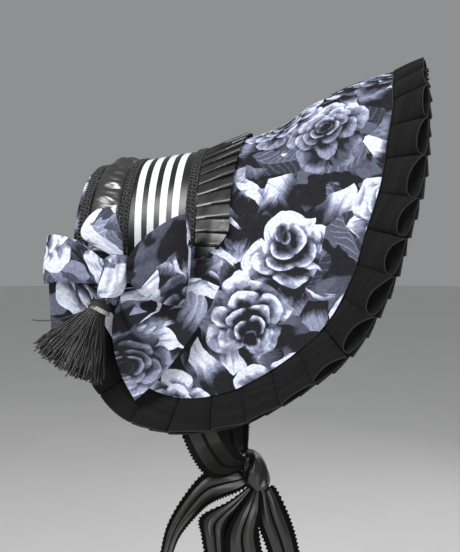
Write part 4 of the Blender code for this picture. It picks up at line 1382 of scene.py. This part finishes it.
class BONNET_OT_satin_frill(bpy.types.Operator):
    """Build the knife-pleated satin frill over the brim's root"""

    bl_idname = "bonnet.satin_frill"
    bl_label = "Satin Frill"

    def execute(self, context):
        sizes = context.scene.bonnet_sizes
        pleats, hem_rise = 2 * round(sizes.knife_count / 2), sizes.knife_rise / MM
        columns = pleats * len(KNIFE_FOLD_ROWS)

        def place(a, b):
            _, side, pleat, step = pleat_at(a, columns, KNIFE_FOLD_ROWS)
            shift, rise = KNIFE_FOLD_ROWS[step]
            shaken = 0.10 * wander(pleat * 1.9, side, 12) if step else 0.0
            low = 1 - 2 * (pleat + shift + shaken * (1 - b)) / pleats
            to_corner = max(low - SATIN_FRILL_CORNER_FROM, 0.0) / (1 - SATIN_FRILL_CORNER_FROM)
            out = (1 - b) * (1 - SATIN_FRILL_CORNER_CUT * to_corner * to_corner)
            down = min(low * SATIN_FRILL_REACH_PACE, 1.0)
            free = mixed(SATIN_FRILL_REACH_TOP, SATIN_FRILL_REACH_SIDE, down)
            free -= 0.8 * rise + 0.5 * wander(pleat * 2.3, side, 15)
            y = mixed(SATIN_FRILL_ROOT, free, out)
            fan = SATIN_FRILL_FAN * out * math.sin(2 * math.pi * SATIN_FRILL_FAN_TURNS * low)
            run = side * (low * (crown_reach(SATIN_FRILL_ROOT) + SATIN_FRILL_PAST_HEM) - fan)
            to_middle = min(out / SATIN_FRILL_MIDDLE, 1.0)
            to_hem = max(out - SATIN_FRILL_MIDDLE, 0.0) / (1 - SATIN_FRILL_MIDDLE)
            base = SATIN_FRILL_RISE_ROOT + SATIN_FRILL_RISE_MIDDLE * to_middle + SATIN_FRILL_RISE_HEM * to_hem
            low_end = max(low - SATIN_FRILL_CLIMB_FROM, 0.0) / (1 - SATIN_FRILL_CLIMB_FROM)
            wavy = 0.3 * wander(pleat * 0.9, out * 1.5, 13) * out
            standing = 1.0 + (hem_rise - 1.0) * out * (1 + 0.25 * wander(pleat * 1.1, side, 14))
            return crown_point(y, run, base + SATIN_FRILL_CLIMB * low_end + rise * standing + wavy)

        finish = black_satin("pleated_satin", 0.28)
        frill = cloth("satin_frill_cloth", columns, 12, place, SATIN_FRILL_WALL, 1, [finish])
        frill = settle(frill, "black_satin", "satin_frill", sharp=60.0)
        return {"FINISHED"}


def line_at(rows, a, b, mirrored=False):
    """A point on a ribbon, b of the way along the crosswise line at a, and that line's unit direction."""
    row = row_at(LINE_COLUMNS, rows, a)
    side = 1 if mirrored else -1
    one = Vector((side * row["out_1"], row["y_1"], row["z_1"]))
    two = Vector((side * row["out_2"], row["y_2"], row["z_2"]))
    puff = Vector((side * row["puff"] * math.sin(math.pi * b), 0.0, 0.0))
    return one.lerp(two, b) + puff, (two - one).normalized()


def ringed(name, rows, around, levels, relief, finish):
    """A closed form through rings, with relief(turn, b) added to its half widths, in mm."""

    def place(turn, b):
        row = row_at(RING_COLUMNS, rows, b)
        extra = relief(turn, b)
        y = row["y"] + (row["half_y"] + extra) * math.cos(turn)
        out = row["out"] + (row["half_out"] + extra) * math.sin(turn)
        return Vector((-out, y, row["z"]))

    return wrapped(name, around, levels, place, finish)


class BONNET_OT_bow(bpy.types.Operator):
    """Build the print bow: three loops, two tails and the knot"""

    bl_idname = "bonnet.bow"
    bl_label = "Bow"

    def execute(self, context):
        for node, rows in BOW_RIBBONS.items():
            cut = dict(zip(BOW_CUT_COLUMNS, BOW_CUTS[node]))
            looped = "loop" in node

            def place(a, b, rows=rows, cut=cut, looped=looped):
                point, _ = line_at(rows, a, b)
                from_knot = min(a, 1 - a) if looped else a
                fade = math.exp(-from_knot / cut["fade"]) * min(1.0, from_knot / 0.04)
                turn = math.pi * cut["folds"] * b
                waves = math.sin(2 * turn + 2.2 * a) + 0.35 * math.sin(4.6 * turn + 1.0)
                if not looped:
                    # A tail folds more toward its hem and its lower edge, and away from the brim.
                    waves = (waves + 0.7) * (0.25 + 0.75 * b) * min(1.0, 2 * a)
                fold = cut["depth"] * fade * waves
                soft = 0.8 * wander(a * 5, b * 2.2, len(rows)) * math.sin(math.pi * b)
                point += Vector((-(fold + soft), 0.0, 0.0))
                # The far end bulges between its corners, and a loop's rims wave a little.
                far = math.sin(math.pi * a) ** 4 if looped else a * a * a
                bulge = cut["bulge"] * far * (1 - abs(2 * b - 1) ** 2.2)
                rim = 0.9 * far * (2 * b - 1) * wander(a * 9, 2.0, 50 + len(rows))
                return point + Vector((0.0, bulge, rim if looped else 0.7 * bulge))

            finish = print_cotton("print_" + node, cut["turn"], (cut["cut_u"], cut["cut_v"]), cut["lift"])
            piece = cloth(node + "_cloth", 110 if looped else 60, 34, place, BOW_WALL, 0, [finish])
            piece = settle(piece, "print_cotton", node)

        def creases(turn, b):
            wave = math.sin(5 * turn + 4.0 * b + wander(turn, b * 2, 20)) + 0.4 * math.sin(11 * turn - 3.0 * b)
            return 0.5 + 1.4 * wave * math.sin(math.pi * b)

        finish = print_cotton("print_bow_knot", turn=2.4, cut=(0.305, 0.262), lift=0.42)
        knot = ringed("bow_knot_cloth", BOW_KNOT_ROWS, 90, 30, creases, finish)
        knot = settle(knot, "print_cotton", "bow_knot")
        return {"FINISHED"}


def kinked(thread, share, slow, fast, seed):
    """How far a thread strays at a share of its length: a slow wave with a quick one on it."""
    return wander(thread * slow, share * 3.2, seed) + 0.35 * wander(thread * fast, share * 14.0, seed + 2)


class BONNET_OT_tassel(bpy.types.Operator):
    """Build the tassel: its threads and its metal cap"""

    bl_idname = "bonnet.tassel"
    bl_label = "Tassel"

    def execute(self, context):
        sizes = context.scene.bonnet_sizes
        top, axis, wide = Vector(TASSEL_TOP), Vector(TASSEL_AXIS).normalized(), Vector((0.0, 1.0, 0.0))
        wide = (wide - axis * wide.dot(axis)).normalized()
        thick = axis.cross(wide).normalized()
        neck = CAP_LENGTH + 1.0
        count = sizes.thread_count
        finish = yarn("tassel_thread", TASSEL_TWIST, 0.36, 0.02)

        def spot(turn, share, depth, thread):
            """A place on a thread: turn round the tassel, share of its length, depth from its middle at 0 to
            1."""
            reach = SKIRT_START + SKIRT_LENGTH * (1 + 0.09 * wander(thread * 3.1, 1.0, 30)) * share ** 1.3
            fanned = max(reach - neck, 0.0)
            angle = math.radians(SKIRT_FAN) * math.cos(turn) * depth
            grown = fanned / SKIRT_LENGTH
            down = min(reach, neck) + fanned * math.cos(angle)
            sideways = SKIRT_HEAD_RADIUS * depth * math.cos(turn) + fanned * math.sin(angle)
            inward = (SKIRT_HEAD_RADIUS - SKIRT_THINNING * grown) * depth * math.sin(turn)
            kink = THREAD_KINK * grown ** 0.7
            sideways += kink * kinked(thread, share, 5.7, 7.1, 31)
            inward += kink * kinked(thread, share, 4.3, 6.3, 32)
            return top + axis * down + wide * sideways + thick * inward

        def strand(turn, length, thread, depth, spread=0.0):
            shares = [k / THREAD_STEPS for k in range(THREAD_STEPS + 1)]
            return [
                spot(turn, 0.12 + length * share, depth + spread * share ** 1.5, thread) for share in shares
            ]

        golden = math.pi * (3 - math.sqrt(5))
        depths = [0.42 + 0.58 * math.sqrt((thread + 0.5) / count) for thread in range(count)]
        lines = [strand(thread * golden, 0.88, thread, depth) for thread, depth in enumerate(depths)]
        # One stray thread stands off behind the rest.
        lines.append(strand(0.2, 0.80, 999, 1.0, 0.62))
        threads = settle(strands("tassel_strands", lines, sizes.thread_radius / MM, 0, finish), "tassel_thread")
        bulk = wrapped("tassel_bulk", 40, 12, lambda turn, b: spot(turn, 0.05 + 0.87 * b, 0.80, 0), finish)
        bulk = settle(bulk, "tassel_thread")
        settle(joined("tassel_threads", [threads, bulk]), "tassel_thread", "tassel_skirt")

        bm = bmesh.new()
        corners = [bm.verts.new((radius * MM, 0.0, height * MM)) for radius, height in CAP_PROFILE]
        edges = [bm.edges.new(pair) for pair in zip(corners, corners[1:])]
        bmesh.ops.spin(
            bm, geom=corners + edges, cent=(0, 0, 0), axis=(0, 0, 1), angle=2 * math.pi, steps=72,
            use_merge=True
        )
        bmesh.ops.remove_doubles(bm, verts=bm.verts, dist=1e-6)
        for vert in bm.verts:
            level = -vert.co.z / MM
            outside = math.hypot(vert.co.x, vert.co.y) / MM > CAP_RADIUS - CAP_WALL * 0.5 or level < 3.0
            around = math.atan2(vert.co.y, vert.co.x)
            grown = 1.0
            if outside and 2.0 < level < 5.0:
                grown += CAP_FLUTE * abs(math.sin(6 * around))
            if outside and 5.6 < level < 8.8:
                grown += CAP_BEAD * math.sin(24 * around)
            vert.co.x *= grown
            vert.co.y *= grown
        bmesh.ops.recalc_face_normals(bm, faces=bm.faces)
        chart = bm.loops.layers.uv.new("UVMap")
        unwrap(bm, chart, lambda vert: (math.atan2(vert.co.y, vert.co.x) * CAP_RADIUS * MM, -vert.co.z))
        turned = (-axis).to_track_quat("Z", "Y").to_matrix().to_4x4()
        bmesh.ops.transform(bm, matrix=Matrix.Translation(top * MM) @ turned, verts=bm.verts)
        cap = new_piece("tassel_cap_metal", bm, [antique_metal()])
        soften = cap.modifiers.new("soften", "SUBSURF")
        soften.levels = 1
        soften.render_levels = 1
        settle(cap, "antique_metal", "tassel_cap", sharp=70.0)
        return {"FINISHED"}


def strap_rows():
    """Crosswise lines of the strap, from inside the brim down to the knot."""

    def inside(share, outward):
        spot = brim_outer(share, outward)
        across = brim_outer(share + 0.01, outward) - spot
        along = brim_outer(share, outward - 0.05) - spot
        clear = mixed(STRAP_CLEAR, STRAP_CLEAR_AT_EDGE, ramp(outward, STRAP_INSIDE[0], STRAP_INSIDE[-1]))
        return spot - across.cross(along).normalized() * clear

    lines = []
    for outward in STRAP_INSIDE:
        one, two = inside(STRAP_SHARE_1, outward), inside(STRAP_SHARE_2, outward)
        lines.append((one.y, one.z, one.x, two.y, two.z, two.x, 0.0))
    return (*lines, *STRAP_ROWS)


def into_knot(rows, a, b, mirrored):
    """The shift that draws the ends of a tie, which start or stop at the knot, a little way into it."""
    shift = Vector((0.0, 0.0, 0.0))
    for place, row in ((0.0, rows[0]), (1.0, rows[-1])):
        at_knot = abs(row[1] - KNOT_MIDDLE[1]) < KNOT_NEAR and abs(row[0] - KNOT_MIDDLE[0]) < KNOT_NEAR
        near = max(0.0, 1 - abs(a - place) / KNOT_PULL_SHARE)
        if at_knot and near:
            point, _ = line_at(rows, place, b, mirrored)
            shift += (Vector((0.0, *KNOT_MIDDLE)) - point).normalized() * KNOT_PULL * near * near
    return shift


class BONNET_OT_ties(bpy.types.Operator):
    """Build the two straps, the knot under the chin and the loops and ends of the ties"""

    bl_idname = "bonnet.ties"
    bl_label = "Ties"

    def execute(self, context):
        sizes = context.scene.bonnet_sizes
        reverse, finish = tie_ribbon_finish("strap_ribbon", 0.35), tie_ribbon_finish("tie_ribbon", 0.8)
        reach = sizes.picot_reach / MM
        ribbons = {"tie_strap_right": (strap_rows(), False), "tie_strap_left": (strap_rows(), True)}
        ribbons.update({node: (rows, False) for node, rows in TIE_RIBBONS.items()})
        for node, (rows, mirrored) in ribbons.items():
            middles = [line_at(rows, k / 60, 0.5, mirrored)[0] for k in range(61)]
            length = sum((one - two).length for one, two in zip(middles, middles[1:]))
            picots = max(4, round(length / (sizes.picot_pitch / MM)))
            strap = "strap" in node

            def place(a, b, rows=rows, mirrored=mirrored, picots=picots, strap=strap):
                inner = ramp(b * TIE_ROWS, 1.0, TIE_ROWS - 1.0)
                point, direction = line_at(rows, a, inner, mirrored)
                point += into_knot(rows, a, inner, mirrored)
                pulled = 0.35 * wander(a * length / 9, inner * 2, 40 + len(rows)) * math.sin(math.pi * a)
                stripe = ramp(abs(inner - 0.5) * TIE_WIDTH, TIE_STRIPE_FROM, TIE_STRIPE_TO)
                swell = 0.0 if strap else TIE_PUFF * math.sin(math.pi * stripe) * math.sin(math.pi * a)
                point += Vector((pulled - swell, 0.0, 0.0))
                outer = {0: -1, TIE_ROWS: 1}.get(round(b * TIE_ROWS), 0)
                standing = max(0.0, math.sin(2 * math.pi * picots * a - 0.5)) ** 0.6
                return point + direction * (outer * (0.05 + reach * standing))

            columns, finishes = picots * PICOT_COLUMNS, [reverse if strap else finish]
            piece = cloth(node + "_ribbon", columns, TIE_ROWS, place, TIE_WALL, 0, finishes, width=TIE_WIDTH)
            piece = settle(piece, "tie_satin", node)

        def creases(turn, b):
            wave = math.sin(3 * turn + 7.0 * b + wander(turn, b * 2, 21)) + 0.45 * math.sin(8 * turn + 16.0 * b)
            return 0.8 + 1.7 * wave * math.sin(math.pi * b)

        finish = black_satin("knotted_satin", 0.27, 0.36)
        knot = ringed("tie_knot_ribbon", TIE_KNOT_ROWS, 72, 36, creases, finish)
        knot = settle(knot, "tie_satin", "tie_knot")
        return {"FINISHED"}


def aimed(name, data, target, direction, distance):
    """A camera or a light that looks at the target from a distance in one direction."""
    made = new_object(name, data)
    made.location = target + direction * distance
    made.rotation_mode = "QUATERNION"
    made.rotation_quaternion = (-direction).to_track_quat("-Z", "Y")
    return made


class BONNET_OT_stage(bpy.types.Operator):
    """Set the floor, the soft lights and the camera"""

    bl_idname = "bonnet.stage"
    bl_label = "Stage"

    def execute(self, context):
        scene = context.scene
        bm = bmesh.new()
        bmesh.ops.create_circle(bm, cap_ends=True, segments=96, radius=FLOOR_RADIUS)
        bmesh.ops.translate(bm, verts=bm.verts, vec=(0.0, 0.0, FLOOR_HEIGHT))
        floor = new_piece("floor", bm, [floor_finish()])

        target = Vector(VIEW_TARGET) * MM
        turn, rise = math.radians(VIEW_AZIMUTH), math.radians(VIEW_ELEVATION)
        back = Vector((math.sin(turn) * math.cos(rise), -math.cos(turn) * math.cos(rise), math.sin(rise)))
        lens = bpy.data.cameras.new("view")
        lens.lens = VIEW_LENS
        lens.sensor_width = 36.0
        lens.clip_start = 0.01
        scene.camera = aimed("view", lens, target, back, VIEW_DISTANCE * MM)
        for name, (direction, distance, size, power) in LIGHTS.items():
            lamp = bpy.data.lights.new(name, "AREA")
            lamp.shape = "DISK"
            lamp.size = size
            lamp.energy = power
            aimed(name, lamp, target, Vector(direction).normalized(), distance)

        world = bpy.data.worlds.new("room")
        world.use_nodes = True
        air = world.node_tree.nodes["Background"]
        air.inputs["Color"].default_value = ROOM_COLOUR
        air.inputs["Strength"].default_value = ROOM_STRENGTH
        scene.world = world
        scene.view_settings.view_transform = "Standard"
        return {"FINISHED"}


STEPS = (
    BONNET_OT_crown,
    BONNET_OT_brim,
    BONNET_OT_brim_frill,
    BONNET_OT_braids,
    BONNET_OT_striped_ribbon,
    BONNET_OT_satin_band,
    BONNET_OT_satin_frill,
    BONNET_OT_bow,
    BONNET_OT_tassel,
    BONNET_OT_ties,
    BONNET_OT_stage,
)


class BONNET_PT_panel(bpy.types.Panel):
    """The bonnet's sizes, colours and building steps"""

    bl_idname = "BONNET_PT_panel"
    bl_label = "Frilled Bonnet"
    bl_space_type = "VIEW_3D"
    bl_region_type = "UI"
    bl_category = "Bonnet"

    def draw(self, context):
        layout = self.layout
        layout.use_property_split = True
        scene = context.scene
        for title, settings in (("Sizes", scene.bonnet_sizes), ("Colours", scene.bonnet_colours)):
            box = layout.box()
            box.label(text=title)
            for name in settings.__annotations__:
                box.prop(settings, name)
        column = layout.column(align=True)
        for step in STEPS:
            column.operator(step.bl_idname)


CLASSES = (BonnetSizes, BonnetColours, *STEPS, BONNET_PT_panel)


def register():
    for listed in CLASSES:
        bpy.utils.register_class(listed)
    bpy.types.Scene.bonnet_sizes = bpy.props.PointerProperty(type=BonnetSizes)
    bpy.types.Scene.bonnet_colours = bpy.props.PointerProperty(type=BonnetColours)


def unregister():
    del bpy.types.Scene.bonnet_colours
    del bpy.types.Scene.bonnet_sizes
    for listed in reversed(CLASSES):
        bpy.utils.unregister_class(listed)


def main():
    register()
    for step in STEPS:
        getattr(bpy.ops.bonnet, step.bl_idname.split(".")[1])()


if __name__ == "__main__":
    main()
